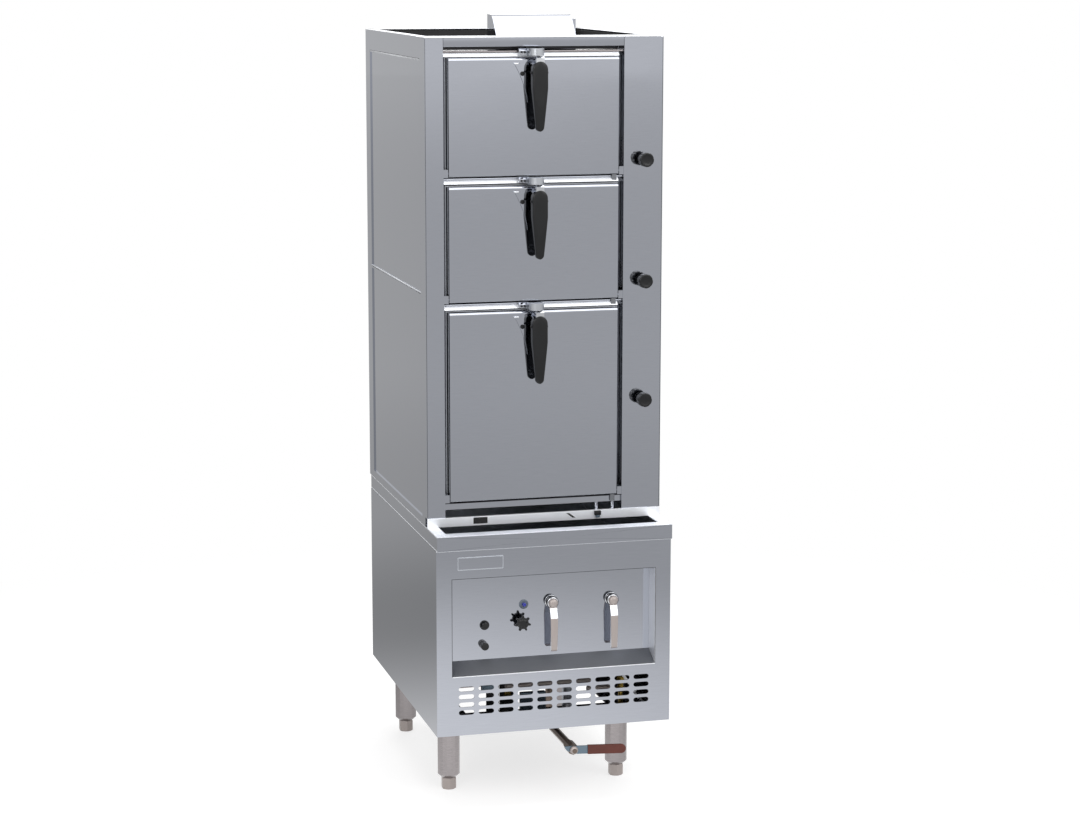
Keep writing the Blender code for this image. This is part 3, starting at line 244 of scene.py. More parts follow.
def softened(points, radius, steps=5):
    """A line of points with each inner corner rounded: between two points at most a radius before
    and after the corner, the curve (1-t)(1-t)a + 2t(1-t)b + t*t*c."""
    points = np.asarray(points, float)
    radius = np.broadcast_to(radius, len(points) - 2)[:, None]
    before, corner, after = points[:-2], points[1:-1], points[2:]
    run_in, run_out = before - corner, after - corner
    length_in = np.linalg.norm(run_in, axis=1, keepdims=True)
    length_out = np.linalg.norm(run_out, axis=1, keepdims=True)
    reach = np.minimum(radius, np.minimum(length_in, length_out) * 0.49)
    a = (corner + run_in / length_in * reach)[:, None]
    c = (corner + run_out / length_out * reach)[:, None]
    t = np.linspace(0, 1, steps)[None, :, None]
    curve = (1 - t) ** 2 * a + 2 * t * (1 - t) * corner[:, None] + t**2 * c
    return np.concatenate([points[:1], curve.reshape(-1, points.shape[1]), points[-1:]])


def rounded_loop(points, radius):
    """A closed line of points, each corner rounded but for the first."""
    return softened([*points, points[0]], radius, 4)[:-1]


def front_centre(node):
    """The middle of a node across X and Z, and its foremost Y."""
    low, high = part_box(node)
    return (low.x + high.x) / 2, low.y, (low.z + high.z) / 2


def turned_rings(profile, centre, axis, columns=48, wave=None):
    """A profile of (radius, distance) pairs turned about an axis: centre + distance * axis
    + radius * (cos(t) * u + sin(t) * v). A wave(t, distance) multiplies the radius."""
    profile = np.asarray(profile, float)
    axis = Vector(axis).normalized()
    u = Vector(rightward) if abs(axis.x) < 0.5 else Vector(backward)
    v = axis.cross(u)
    t = np.linspace(0, 2 * math.pi, columns + 1)[:-1]
    radius = np.repeat(profile[:, :1], columns, 1)
    if wave:
        radius = radius * wave(t[None, :], profile[:, 1:])
    around = np.cos(t)[:, None] * np.array(u) + np.sin(t)[:, None] * np.array(v)
    return np.array(centre) + profile[:, 1, None, None] * np.array(axis) + radius[:, :, None] * around


def slab_rings(outline, front, back, edge, steps=4, plane="xz"):
    """A flat outline carried from a front to a back plane along the axis left over, its edges
    rounded: at angle t of the edge the outline is drawn in by edge * (1 - sin t) and lies
    edge * (1 - cos t) inside."""
    outline = np.asarray(outline, float)
    tangent = np.roll(outline, -1, 0) - np.roll(outline, 1, 0)
    tangent /= np.linalg.norm(tangent, axis=1, keepdims=True)
    normal = np.stack([tangent[:, 1], -tangent[:, 0]], 1)
    area = np.sum(outline[:, 0] * np.roll(outline[:, 1], -1) - np.roll(outline[:, 0], -1) * outline[:, 1])
    normal *= np.sign(area)
    t = np.linspace(0, math.pi / 2, steps)
    inset = np.concatenate([[edge + 0.3 * MM], (1 - np.sin(t)) * edge])
    depth = np.concatenate([[0], (1 - np.cos(t)) * edge])
    sign = np.sign(back - front)
    rows = outline - normal * np.concatenate([inset, inset[::-1]])[:, None, None]
    levels = np.concatenate([front + sign * depth, back - sign * depth[::-1]])
    levels = np.repeat(levels[:, None], len(outline), 1)
    order = {"xz": (rows[..., 0], levels, rows[..., 1]), "yz": (levels, rows[..., 0], rows[..., 1]),
             "xy": (rows[..., 0], rows[..., 1], levels)}[plane]
    return np.stack(order, -1)


def swept_rings(path, half_width, thickness, edge, x):
    """A rounded bar carried along a path of (y, z) points in a plane across X: the section is a
    rectangle with rounded corners, square to the path, half of its thickness to each side."""
    path = np.asarray(path, float)
    run = np.gradient(path, axis=0)
    run /= np.linalg.norm(run, axis=1, keepdims=True)
    normal = np.stack([run[:, 1], -run[:, 0]], 1)
    t = np.linspace(0, 2 * math.pi, 25)[:-1] + math.pi / 24
    half_width = np.broadcast_to(half_width, len(path))[:, None]
    inner = np.maximum(half_width - edge, 0)
    across = x + np.sign(np.cos(t)) * inner + (half_width - inner) * np.cos(t)
    rise = np.sign(np.sin(t)) * (thickness / 2 - edge) + edge * np.sin(t)
    flat = path[:, None, :] + rise[None, :, None] * normal[:, None, :]
    return np.stack([across, flat[..., 0], flat[..., 1]], -1)


def sheet_rings(path, thickness, low, high, plane="yz"):
    """Folded sheet: a flat path with half of the thickness to each side, carried along the axis
    left over from a low to a high end, where its two faces meet in a fine edge."""
    path = np.asarray(path, float)
    run = np.gradient(path, axis=0)
    run /= np.linalg.norm(run, axis=1, keepdims=True)
    normal = np.stack([run[:, 1], -run[:, 0]], 1) * thickness / 2
    fine = 0.4 * MM
    rows = []
    for x, share in ((low, 0.0), (low + fine, 1.0), (high - fine, 1.0), (high, 0.0)):
        section = np.concatenate([path + normal * share, (path - normal * share)[::-1]])
        flat = np.full(len(section), x)
        columns = (flat, *section.T) if plane == "yz" else (*section.T, flat)
        rows.append(np.column_stack(columns))
    return np.array(rows)


def box_outline(low, high, radius):
    """A rectangle with round corners, as a closed line of points."""
    (a, b), (c, d) = low, high
    loop = [((a + c) / 2, b), (c, b), (c, d), (a, d), (a, b), ((a + c) / 2, b)]
    return softened(loop, radius)[:-1]


def plate(name, low, high, material, body="cabinet", slot="polished_steel", stood=(), corner=0.8, edge=0.3):
    """A thin slab between two corners: slab_rings across its least dimension, sizes in mm."""
    low, high = np.asarray(low, float), np.asarray(high, float)
    thin = int(np.argmin(high - low))
    a, b = (axis for axis in range(3) if axis != thin)
    outline = box_outline((low[a], low[b]), (high[a], high[b]), corner) * MM
    front, back = (high[thin], low[thin]) if thin == 2 else (low[thin], high[thin])
    edge = min(edge, (high - low)[thin] * 0.45) * MM
    rings = slab_rings(outline, front * MM, back * MM, edge, 4, plane=("yz", "xz", "xy")[thin])
    add_piece(name, rings, material, body, slot, stood)


def twin_plates(name, low, high, material, corner=0.8, edge=0.3):
    """The same plate at the left and at the right; its corners are those of the right one."""
    for side, word in sides:
        x = sorted((side * low[0], side * high[0]))
        plate(f"{name}_{word}", (x[0], *low[1:]), (x[1], *high[1:]), material, corner=corner, edge=edge)


def rod(radius, length):
    """The profile of a plain round rod, for turned_piece."""
    return [(0, 0), (radius, 0), (radius, length), (0, length)]


def turned_piece(name, profile, radii, centre, axis, material, body="cabinet", slot="polished_steel",
                 columns=32):
    """A softened profile of (radius, distance) pairs in mm, turned about an axis."""
    rings = turned_rings(softened(profile, radii, 5) * MM, centre, axis, columns)
    add_piece(name, rings, material, body, slot)


def turned_profile(points, radii, tail, steps=5):
    """A softened profile with sharp points after it, from mm."""
    return np.concatenate([softened(points, radii, steps), tail]) * MM


# Rails and door fronts


def rail_drip(name, bottom, left, right, back):
    """The sloped satin drip of a rail, near white as a painted highlight: it stands out and down over
    the door's top edge, and a return behind it goes back to the frame."""
    front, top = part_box("stile_left")[0].y, bottom + 8.6 * MM
    path = [(back, bottom), (front + 1.6 * MM, bottom), (front + 8 * MM, top), (back, top)]
    rings = sheet_rings(softened(path, 0.9 * MM, 4), 1.2 * MM, left, right)
    add_piece(name, rings, painted_light_steel, ends="folded")


def make_rails():
    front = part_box("stile_left")[0].y + 8.2 * MM
    for door, name in (("lower", "rail_over_lower_door"), ("middle", "rail_over_middle_door")):
        low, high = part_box(name)
        left, right, back = low.x + 0.2 * MM, high.x - 0.2 * MM, high.y - 0.5 * MM
        drip_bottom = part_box("door_skin_" + door)[1].z + 6.8 * MM
        rail_drip(name + "_drip", drip_bottom, left, right - 12 * MM, back)
        bottom, top = drip_bottom + 9.8 * MM, high.z - 0.8 * MM
        path = [(back, bottom), (front, bottom), (front, top), (back, top)]
        rings = sheet_rings(softened(path, 1.2 * MM, 5), 1.5 * MM, left, right)
        add_piece(name + "_face", rings, polished_steel, stood=[name], ends="folded")


def make_header():
    """The header over the doors: a face with a return above a dark slot, the ledge under it, and
    the flange that lies across the whole top. The flange's near white is painted highlight, and the
    slot's dark is painted shade on a strip at its back."""
    low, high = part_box("header_rail")
    rail_low, rail_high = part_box("rail_over_lower_door")
    left, right, back = rail_low.x + 0.2 * MM, rail_high.x - 0.2 * MM, rail_high.y - 0.5 * MM
    door_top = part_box("door_skin_upper")[1].z
    front, foot = low.y + 0.8 * MM, door_top + 26.8 * MM
    face = [(low.y + 16 * MM, foot), (front, foot), (front, high.z - 2.4 * MM)]
    rings = sheet_rings(softened(face, 1.2 * MM, 5), 1.5 * MM, left, right)
    add_piece("header_face", rings, polished_steel, stood=["header_rail"], ends="folded")
    rail_drip("header_drip", door_top + 2.6 * MM, left, right - 11.8 * MM, back)
    plate("header_ledge", (left / MM, low.y / MM + 6, door_top / MM + 12.2),
          (right / MM, back / MM, door_top / MM + 16.0), brushed_steel, edge=0.8)
    outline = box_outline((low.x, low.y), (high.x, high.y - 0.2 * MM), 1.0 * MM)
    rings = slab_rings(outline, high.z, high.z - 1.9 * MM, 0.5 * MM, plane="xy")
    add_piece("header_flange", rings, painted_light_steel)
    # The dark strip at the back of the slot is painted shade.
    left, right = left + 0.8 * MM, right - 0.8 * MM
    outline = box_outline((left, door_top + 17.9 * MM), (right, door_top + 45 * MM), 1 * MM)
    rings = slab_rings(outline, back - 2.5 * MM, back - 0.5 * MM, 0.3 * MM, 3)
    add_piece("header_slot_painted_shade", rings, dark_steel_and_painted_shade)


def make_door_front(door):
    """The outer skin: rectangles from the front to the back. At angle t of the bend the sides and
    the foot are drawn in by 1.2 mm * (1 - sin t), the top by 6.8 mm * (1 - sin t), at the depth
    5 mm * (1 - cos t)."""
    low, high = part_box("door_skin_" + door)
    t = np.linspace(0, math.pi / 2, 9)
    side = np.concatenate([[1.5], 1.2 * (1 - np.sin(t)), [0, 0.4, 0.7]]) * MM
    top = np.concatenate([[7.1], 6.8 * (1 - np.sin(t)), [0, 0.4, 0.7]]) * MM
    depth = np.concatenate([[0], 5.0 * (1 - np.cos(t))]) * MM
    levels = [*(low.y + depth), high.y - 0.4 * MM, high.y, high.y]
    rows = []
    for inset, drop, y in zip(side, top, levels):
        outline = box_outline((low.x + inset, low.z + inset), (high.x - inset, high.z - drop), 1.2 * MM)
        rows.append(np.insert(outline, 1, y, 1))
    add_piece("door_front_" + door, rows, polished_steel, "door_" + door, stood=["door_skin_" + door])


def make_casing_trim():
    """Satin lines of painted highlight where the side panels are folded and where the top flanges lie,
    fine dark seams at the posts, a fine line of painted shade down each front corner, and the dark
    board and linings over the chamber, which are painted shade."""
    fine = {"corner": 0.2, "edge": 0.1}
    twin_plates("side_fold_upper", (297.3, -248, 1851.4), (299.7, 356, 1855.4), painted_light_steel, edge=1.0)
    twin_plates("side_fold_middle", (297.3, -248, 1284.8), (299.7, 356, 1288.6), painted_light_steel, edge=1.0)
    twin_plates("side_seam_upper", (297.3, -248, 1855.5), (299.7, 356, 1856.4), dark_steel_and_painted_shade, **fine)
    twin_plates("side_seam_front", (297.3, -248.2, 733), (299.7, -246.9, 1856), dark_steel_and_painted_shade, **fine)
    twin_plates("side_flange", (275.5, -204.5, 1908.3), (299.8, 410.5, 1909.0), painted_light_steel)
    # A fine dark line down each front corner: painted shade.
    twin_plates("corner_painted_shade_line", (298.0, -303.8, 733), (298.9, -303.4, 1905), dark_steel_and_painted_shade, **fine)
    plate("back_flange", (-294, 391.5, 1908.3), (294, 411, 1909.0), painted_light_steel)
    # The near-black board and linings over the chamber: painted shade.
    plate("chamber_painted_shade_board", (-230, -203, 1872.6), (176, 380.5, 1873.6), painted_shade_black)
    twin_plates("top_lining", (273.4, -203, 1840), (274.4, 390, 1905), painted_shade_black, corner=0.4)
    plate("top_lining_back", (-273, 389.6, 1840), (273, 390.8, 1905), painted_shade_black, corner=0.4)


def make_recess():
    """The sill, the pale right wall and the fine dark outline of the control recess, and the blank
    badge plate above it. The sill's dark grey and the outline are painted shade; the pale wall, the
    sill's front edge and the fascia's top edge are near-white painted highlights."""
    reach, low, high, front, back, rise = 260.5, 352.0, 598.5, -400.3, -350.8, 25.8
    # The sill's dark grey: painted shade of the recess floor.
    slope = np.linspace((front, low + 0.8), (back, low + rise + 0.8), 6) * MM
    rings = sheet_rings(slope, 0.6 * MM, (-reach + 0.2) * MM, (reach - 0.8) * MM)
    add_piece("recess_sill", rings, dull_steel_and_painted_shade, ends="folded")
    wall = [(front, low + 1.4), (back, low + rise + 1.4), (back, high - 0.2), (front, high - 0.2)]
    rings = slab_rings(rounded_loop(wall, 0.5) * MM, (reach - 0.7) * MM, (reach - 0.1) * MM, 0.1 * MM, 3,
                       plane="yz")
    add_piece("recess_wall_right", rings, painted_light_steel)
    fascia, top = -400.5, high + 0.8
    plate("recess_sill_edge", (-reach, fascia - 0.5, low - 1.6), (reach + 0.8, fascia + 0.1, low + 0.4),
          painted_light_steel, edge=0.25)
    # The dark outline round the recess: painted shade.
    for word, start, end in (("left", (-reach - 0.9, low), (-reach + 0.2, top)),
                             ("right", (reach - 0.2, low), (reach + 0.9, top)),
                             ("top", (-reach - 0.9, high - 0.2), (reach + 0.9, top))):
        plate("recess_painted_shade_line_" + word, (start[0], fascia - 0.3, start[1]), (end[0], fascia + 0.1, end[1]),
              dark_steel_and_painted_shade, corner=0.2, edge=0.1)
    plate("badge_frame", (-246.5, fascia - 0.8, 620.5), (-131, fascia - 0.1, 653.5), bright_steel,
          corner=2.5, edge=0.4)
    plate("badge_plate", (-244.5, fascia - 1.3, 622.5), (-133, fascia - 0.7, 651.5), polished_steel,
          corner=1.5)
    plate("fascia_top_edge", (-299.6, fascia - 0.4, 669.2), (299.6, fascia + 0.1, 671.4), painted_light_steel,
          edge=0.2)


def make_inside_pieces():
    """What shows through the vents: the burner's manifold, the gas valve and its riser, the igniter
    box, the pressure switch, a union, and two braces of the front. Most stand on the floor pan."""
    floor = 204.3
    union = [(0, 0), (11, 0), (11, 12), (8, 13), (8, 26), (11, 27), (11, 40), (0, 40)]
    for name, profile, radius, place, axis, finish, columns in (
            ("gas_manifold", rod(9, 226), 1.5, (-101, -300, 291), rightward, lever_steel, 32),
            ("manifold_lower_arm", rod(7, 62), 1.5, (112, -300, 268), rightward, lever_steel, 32),
            ("manifold_drop", rod(6, 30), 1, (118, -300, 264), upward, lever_steel, 32),
            ("gas_riser", [(0, 0), (18, 0), (18, 66), (15, 70), (0, 70)], 1, (75.5, -262, floor), upward,
             bright_steel, 32),
            ("pressure_switch_dial", rod(9, 3), 1, (-88, -274, 262), backward, brass, 32),
            ("gas_union", union, 0.8, (190, -340, 268), upward, brass, 6),
            ("union_pipe", rod(6, 64), 0.8, (190, -340, floor), upward, brass, 32)):
        turned_piece(name, profile, radius, np.array(place) * MM, axis, finish, columns=columns)
    for name, low, high, finish, corner, edge in (
            ("gas_valve_box", (-60, -297, floor), (6, -281, 268), zinc, 2, 2),
            ("gas_valve_foot", (-66, -299, floor), (12, -279, floor + 3), zinc, 1, 0.5),
            ("igniter_box", (-166, -316, 281), (-128, -306, 301), zinc, 2, 1.5),
            ("igniter_box_bracket", (-152, -305.5, floor), (-119, -303, 299), dark_steel_and_painted_shade, 1, 0.5),
            ("pressure_switch", (-107, -270, floor), (-70, -258, 284), dark_steel_and_painted_shade, 3, 2)):
        plate(name, low, high, finish, corner=corner, edge=edge)
    # The two front braces are near white: painted highlight.
    half_width = 3.2
    for word, start, end in (("upper", (193, 312), (226, 267)), ("lower", (223, 263), (266, 217))):
        start, end = np.array(start), np.array(end)
        points = start + (end - start) * np.linspace(0, 1, 6)[:, None]
        sway = np.array([end[1] - start[1], start[0] - end[0]]) / np.linalg.norm(end - start) * half_width
        ring = np.concatenate([points + sway, (points - sway)[::-1]])
        rows = [np.insert(ring, 1, y, 1) * MM for y in (-352, -351.6, -349.4, -349)]
        add_piece("front_brace_" + word, rows, painted_light_steel)


def make_door_stop(door):
    """The small stop block at the right end of the rail under a door."""
    low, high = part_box("door_skin_" + door)
    outline = box_outline((high.x - 17 * MM, low.z - 18 * MM), (high.x - 5 * MM, low.z - 1.2 * MM), 0.8 * MM)
    rings = slab_rings(outline, low.y + 2.5 * MM, low.y + 7.8 * MM, 0.6 * MM)
    add_piece("door_stop_" + door, rings, dull_steel_and_painted_shade)


def make_deck():
    """The deck's skirt with its satin folds, the rim round the trough, and the upstand: satin
    plates where the sheet faces up, a pale front with its overflow hole, its slanted slot and the
    level probe. The near white of the folds, the plates and the front is painted highlight; the hole
    and the slot are near-black plates of painted shade."""
    top, front, wide, back, foot = 708.5, -411.5, 300.0, 399.5, 672.0
    trough_x, trough_front, trough_back = 271.0, -378.5, -303.5
    reach = wide - 0.2
    plate("deck_skirt_front", (-reach, front, foot), (reach, front + 2, top), polished_steel,
          stood=["deck_frame"], edge=0.8)
    plate("deck_skirt_back", (-wide + 0.6, back - 2, foot), (wide - 0.6, back - 0.1, top - 0.2),
          polished_steel)
    twin_plates("deck_skirt", (wide - 2.6, front + 1.2, foot), (wide - 0.6, back - 0.2, top - 0.2),
                polished_steel)
    # Near-white folds, rims and upstand plates: painted highlight.
    twin_plates("deck_fold_upper", (wide - 1.4, front + 0.3, top - 2.4), (wide - 0.1, back - 0.4, top + 0.1),
                painted_light_steel, edge=0.6)
    twin_plates("deck_fold_lower", (wide - 1.4, front + 0.3, foot), (wide - 0.1, back - 0.4, foot + 2.4),
                painted_light_steel, edge=0.6)
    plate("deck_rim_front", (-reach, front + 0.3, top), (reach, trough_front, top + 0.8), painted_light_steel)
    twin_plates("deck_rim", (trough_x, trough_front, top), (reach, trough_back - 1, top + 0.8), painted_light_steel)
    face = trough_back - 0.2
    plate("upstand_face", (-reach, face - 0.8, top + 1.0), (reach, face, 731.8), painted_light_steel)
    plate("upstand_flange", (-reach, face - 0.6, 731.9), (reach, trough_back + 8, 732.3), painted_light_steel)
    twin_plates("upstand_return", (wide - 27, trough_front + 2, top + 0.9),
                (reach, trough_back - 1.2, top + 1.5), painted_light_steel)
    # The overflow hole and the slanted slot: near-black plates of painted shade.
    plate("overflow_hole", (-183, face - 1.1, 714), (-147, face - 0.8, 730), painted_shade_black, corner=0.6)
    slot = rounded_loop([(55, 728.5), (63, 728), (80, 715.5), (72, 715.8)], 0.5) * MM
    rings = slab_rings(slot, (face - 1.1) * MM, (face - 0.8) * MM, 0.1 * MM, 3)
    add_piece("upstand_slot", rings, painted_shade_black)
    plate("level_probe_head", (128, face - 7, 720), (145, face - 1.2, 731), black_plastic, corner=1.5, edge=1)
    turned_piece("level_probe_stem", rod(5.5, 5.5), 0.8, np.array([136.5, face - 6.6, 714.4]) * MM, upward,
                 zinc)


# Latches: what is fixed to the doors and the rails


def make_keeper(door):
    """A keeper: a band bent to a half round in front, its cap, and the bracket at its left."""
    low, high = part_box("latch_keeper_" + door)
    door_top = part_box("door_skin_" + door)[1].z
    centre, half, wall, lip = -29.5 * MM, 19 * MM, 2.4 * MM, 1.4 * MM
    foot_y, cap_y, block_back, block_front = -0.3050, -0.3048, -0.3046, -0.3130

    def half_round(radius, back):
        turn = np.linspace(math.pi, 2 * math.pi, 25)
        arc = np.stack([centre + radius * np.cos(turn), low.y + half + radius * np.sin(turn)], 1)
        return np.concatenate([[(arc[0, 0], back)], arc, [(arc[-1, 0], back)]])

    band = half_round(half - wall / 2, foot_y)
    rings = sheet_rings(band, wall, door_top + 5.2 * MM, high.z - 0.2 * MM, "xy")
    add_piece("keeper_band_" + door, rings, chamber_steel, slot="chrome", stood=["latch_keeper_" + door],
              ends="folded")
    rings = slab_rings(half_round(half - lip, cap_y), high.z - 2.0 * MM, high.z - 0.4 * MM, 0.3 * MM, 3,
                       plane="xy")
    add_piece("keeper_cap_" + door, rings, polished_steel, slot="chrome")
    block = [(block_back, door_top + 9 * MM), (block_front, door_top + 9 * MM),
             (block_front, door_top + 17 * MM), (block_back, door_top + 22.5 * MM)]
    right = centre - half - 0.4 * MM
    rings = slab_rings(rounded_loop(block, 0.6 * MM), -68 * MM, right, 0.4 * MM, 3, plane="yz")
    add_piece("keeper_bracket_" + door, rings, polished_steel, slot="chrome")
    for x in (62, 54):
        head = softened([(0, -3.2), (2.2, -3.0), (2.9, -2.2), (2.9, 0)], 0.6) * MM
        rings = turned_rings(head, (-x * MM, block_front - 0.1 * MM, door_top + 13 * MM), backward, 18)
        add_piece(f"keeper_screw_{door}_{x}", rings, dark_steel_and_painted_shade, slot="chrome")


def make_latch_trim(door):
    """The turned-over lip of a latch's shield plate, bright as a painted highlight, and the black disc
    beside its handle.
    """
    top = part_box("door_skin_" + door)[1].z / MM
    plate("shield_lip_" + door, (-79.5, -309.5, top - 16.2), (-67, -304.2, top - 12.8), painted_light_steel,
          "door_" + door, "chrome", corner=1.2, edge=0.8)
    disc = [(0, -2.4), (5, -2.4), (5.6, -1.4), (5.6, 0), (0, 0)]
    turned_piece("shield_disc_" + door, disc, [0.6, 0.6, 0.2], np.array([-58, -306.6, top - 39]) * MM,
                 backward, black_plastic, "door_" + door, "chrome")


make_rails()
make_header()
make_deck()
make_casing_trim()
make_recess()
make_inside_pieces()
for door in doors:
    make_door_front(door)
    make_door_stop(door)
    make_keeper(door)
    make_latch_trim(door)


# Latch handles, knobs, taps, feet and the drain lever


def make_handle(door):
    """A hollow phenolic handle. At each level the section is a U: two walls and a front whose
    corners are quarter circles. The half width follows a circle at the top, a straight taper and
    a small circle at the tip; the front bows back as the square of the distance from 62 mm down."""
    low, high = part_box("latch_handle_" + door)
    x, front, top = (low.x + high.x) / 2, low.y, high.z
    length, half, tip, slot_half = 168 * MM, 19 * MM, 10.5 * MM, 10.7 * MM
    turn = np.linspace(0, math.pi / 2, 11)
    foot = length - tip
    waist = half + (foot - half) / 3
    down = np.concatenate([half * (1 - np.cos(turn)), np.linspace(half, waist, 5)[1:],
                           np.linspace(waist, foot, 14)[1:], foot + tip * np.sin(turn)[1:]])
    width = np.concatenate([half * np.sin(turn), np.full(4, half), np.linspace(half, tip, 14)[1:],
                            tip * np.cos(turn)[1:]])
    bow = 1.5 * MM * ((down - 62 * MM) / (62 * MM)) ** 2
    inner_front = np.maximum(3 * MM, bow + 2.4 * MM)
    back = np.interp(down, np.array([3.3, 8, 46, 150, 158, 168]) * MM,
                     np.array([3, 21.5, 21.5, 11.6, 15, 15]) * MM)
    tip_front = np.interp(down, [148 * MM, 156 * MM], [5.5 * MM, 15 * MM])
    inner_front = np.minimum(np.where(down > 148 * MM, tip_front, inner_front), back)
    inner = np.where(down < 15 * MM, np.minimum(np.maximum(width - 3 * MM, slot_half), width),
                     np.maximum(width - 3 * MM, width * 0.5))
    rim = np.minimum(3.2 * MM, width * 0.45)
    arc = np.linspace(0, math.pi / 2, 5)
    side = np.stack([width, width, *(width - rim * (1 - np.cos(a)) for a in arc)], 1)
    deep = np.stack([back, (back + rim + bow) / 2, *(bow + rim * (1 - np.sin(a)) for a in arc)], 1)
    across = np.linspace(1, -1, 11)[None, 1:-1] * (width - rim)[:, None]
    swell = 0.9 * MM * (1 - np.linspace(1, -1, 11)[1:-1] ** 2)
    face = bow[:, None] - np.minimum(swell[None, :], bow[:, None])
    middle_in = (back + inner_front) / 2
    xs = np.concatenate([side, across, -side[:, ::-1], np.stack([-inner, -inner, -inner * 0.9], 1),
                         np.stack([inner * 0.9, inner, inner], 1)], 1)
    ys = np.concatenate([deep, face, deep[:, ::-1], np.stack([back, middle_in, inner_front], 1),
                         np.stack([inner_front, middle_in, back], 1)], 1)
    rings = np.stack([x + xs, front + ys, np.repeat((top - down)[:, None], xs.shape[1], 1)], -1)
    add_piece("handle_" + door, rings, black_plastic, "latch_" + door, "black_plastic",
              ["latch_handle_" + door], ends="folded")
    pin = softened([(0, -22), (2.9, -22), (2.9, 22), (0, 22)], 1.0) * MM
    pivot = (x, front + 13.5 * MM, top - 27 * MM)
    add_piece("handle_pin_" + door, turned_rings(pin, pivot, rightward, 24), dark_steel_and_painted_shade,
              "latch_" + door, "black_plastic")


def lobes(count, first, swell, width, power, start, rise, end, fall):
    """A wave for turned_rings: 1 + swell * exp(-(a / width)^power), a being the angle to the nearest
    of a ring of lobes, or of grooves where the swell is negative. It eases in from the distance
    start over rise, and out towards the distance end over fall, in mm."""

    def wave(turn, along):
        pitch = 2 * math.pi / count
        away = np.abs((turn - first + pitch / 2) % pitch - pitch / 2)
        share = np.clip((along / MM - start) / rise, 0, 1) * np.clip((end - along / MM) / fall, 0, 1)
        return 1 + share * swell * np.exp(-((away / width) ** power))

    return wave


def make_steam_knob(door):
    """A moulded knob: a turned profile with a rolled rim and six grooves along its side."""
    profile = turned_profile(
        [(0, 1.6), (9, 1.2), (14.5, 0), (17.2, 0.6), (18, 4), (18, 21), (16, 25), (9, 25), (8, 26), (8, 40)],
        [2, 1.5, 2, 2, 3, 3, 1, 1], [(0, 40)])
    wave = lobes(6, math.radians(-14), -0.13, 0.10, 2, 0, 4, 26, 2)
    rings = turned_rings(profile, front_centre("steam_knob_" + door), backward, 96, wave)
    add_piece("knob_" + door, rings, black_plastic, "knob_" + door, "black_plastic", ["steam_knob_" + door])


def make_gas_wheel():
    """A star wheel: a dished disc whose rim swells into seven round lobes."""
    profile = turned_profile(
        [(0, 0.2), (8, 0), (9.5, 1.8), (12, 2.2), (14.4, 1.2), (14.6, 8), (13, 11), (6, 11), (4.2, 12),
         (4.2, 29)],
        [3, 1, 1, 1.5, 2.5, 2.5, 1.5, 1], [(0, 29)])
    wave = lobes(7, -math.pi / 2, 0.42, 0.17, 4, 0.4, 1.5, 11.2, 2)
    centre = (-75 * MM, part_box("gas_handwheel")[0].y, 471 * MM)
    rings = turned_rings(profile, centre, backward, 140, wave)
    add_piece("gas_star_wheel", rings, black_plastic, "gas_wheel", "black_plastic", ["gas_handwheel"])


def make_small_controls():
    """The igniter's cap in its collar, the fluted pilot knob, and the lamp's bezel and lens."""
    x, front, z = front_centre("igniter_button")
    button = turned_profile([(0, 0.6), (6.5, 0), (8.4, 0.5), (8.8, 7.5)], [3, 1.2],
                            [(5.8, 8), (5.8, 25), (0, 25)])
    add_piece("igniter_cap", turned_rings(button, (x, front, z), backward), black_plastic, "igniter",
              "black_plastic", ["igniter_button"])
    collar = softened([(9.0, 0.5), (9.0, 0), (12, 0), (12, 3.2), (9.0, 3.2)], 0.8, 4) * MM
    rings = turned_rings(collar, (x, panel_front - 3.2 * MM, z), backward)
    add_piece("igniter_collar", rings, black_plastic, slot="black_plastic", ends="round")
    profile = turned_profile(
        [(0, 0.4), (5, 0.4), (7.6, 0), (9.6, 0.9), (10, 5), (10, 17.5), (9, 19.5), (4, 19.6), (4, 33)],
        [1, 1.2, 1.5, 1, 1, 1, 0.5], [(0, 33)], 4)
    wave = lobes(12, 0.0, -0.05, 0.09, 2, 2, 3, 18, 3)
    add_piece("pilot_dial", turned_rings(profile, front_centre("pilot_knob"), backward, 96, wave),
              black_plastic, "pilot", "black_plastic", ["pilot_knob"])
    x, _, z = front_centre("indicator_lamp")
    bezel = turned_profile([(0, -2.4), (9.4, -2.4), (12.4, -0.3), (4, -0.3), (4, 14)], [2, 0.8, 0.2],
                           [(0, 14)])
    add_piece("lamp_bezel", turned_rings(bezel, (x, panel_front, z), backward), lamp_smoke, slot="blue_lamp",
              stood=["indicator_lamp"])
    lens = softened([(0, -10), (3.6, -10), (4.8, -8), (4.8, -1), (0, -1)], [1.5, 2.5, 0.5], 6) * MM
    add_piece("lamp_lens", turned_rings(lens, (x, panel_front, z), backward), lamp_blue, slot="blue_lamp")


def quarter_dome(radius, foot, rise, rim, back):
    """A profile in mm: a quarter of an ellipse from the foot outwards, closed by a flat back."""
    t = np.linspace(0, math.pi / 2, 9)
    dome = np.stack([radius * np.sin(t), foot - rise * np.cos(t)], 1)
    return np.concatenate([dome, [(rim, back), (0, back)]]) * MM


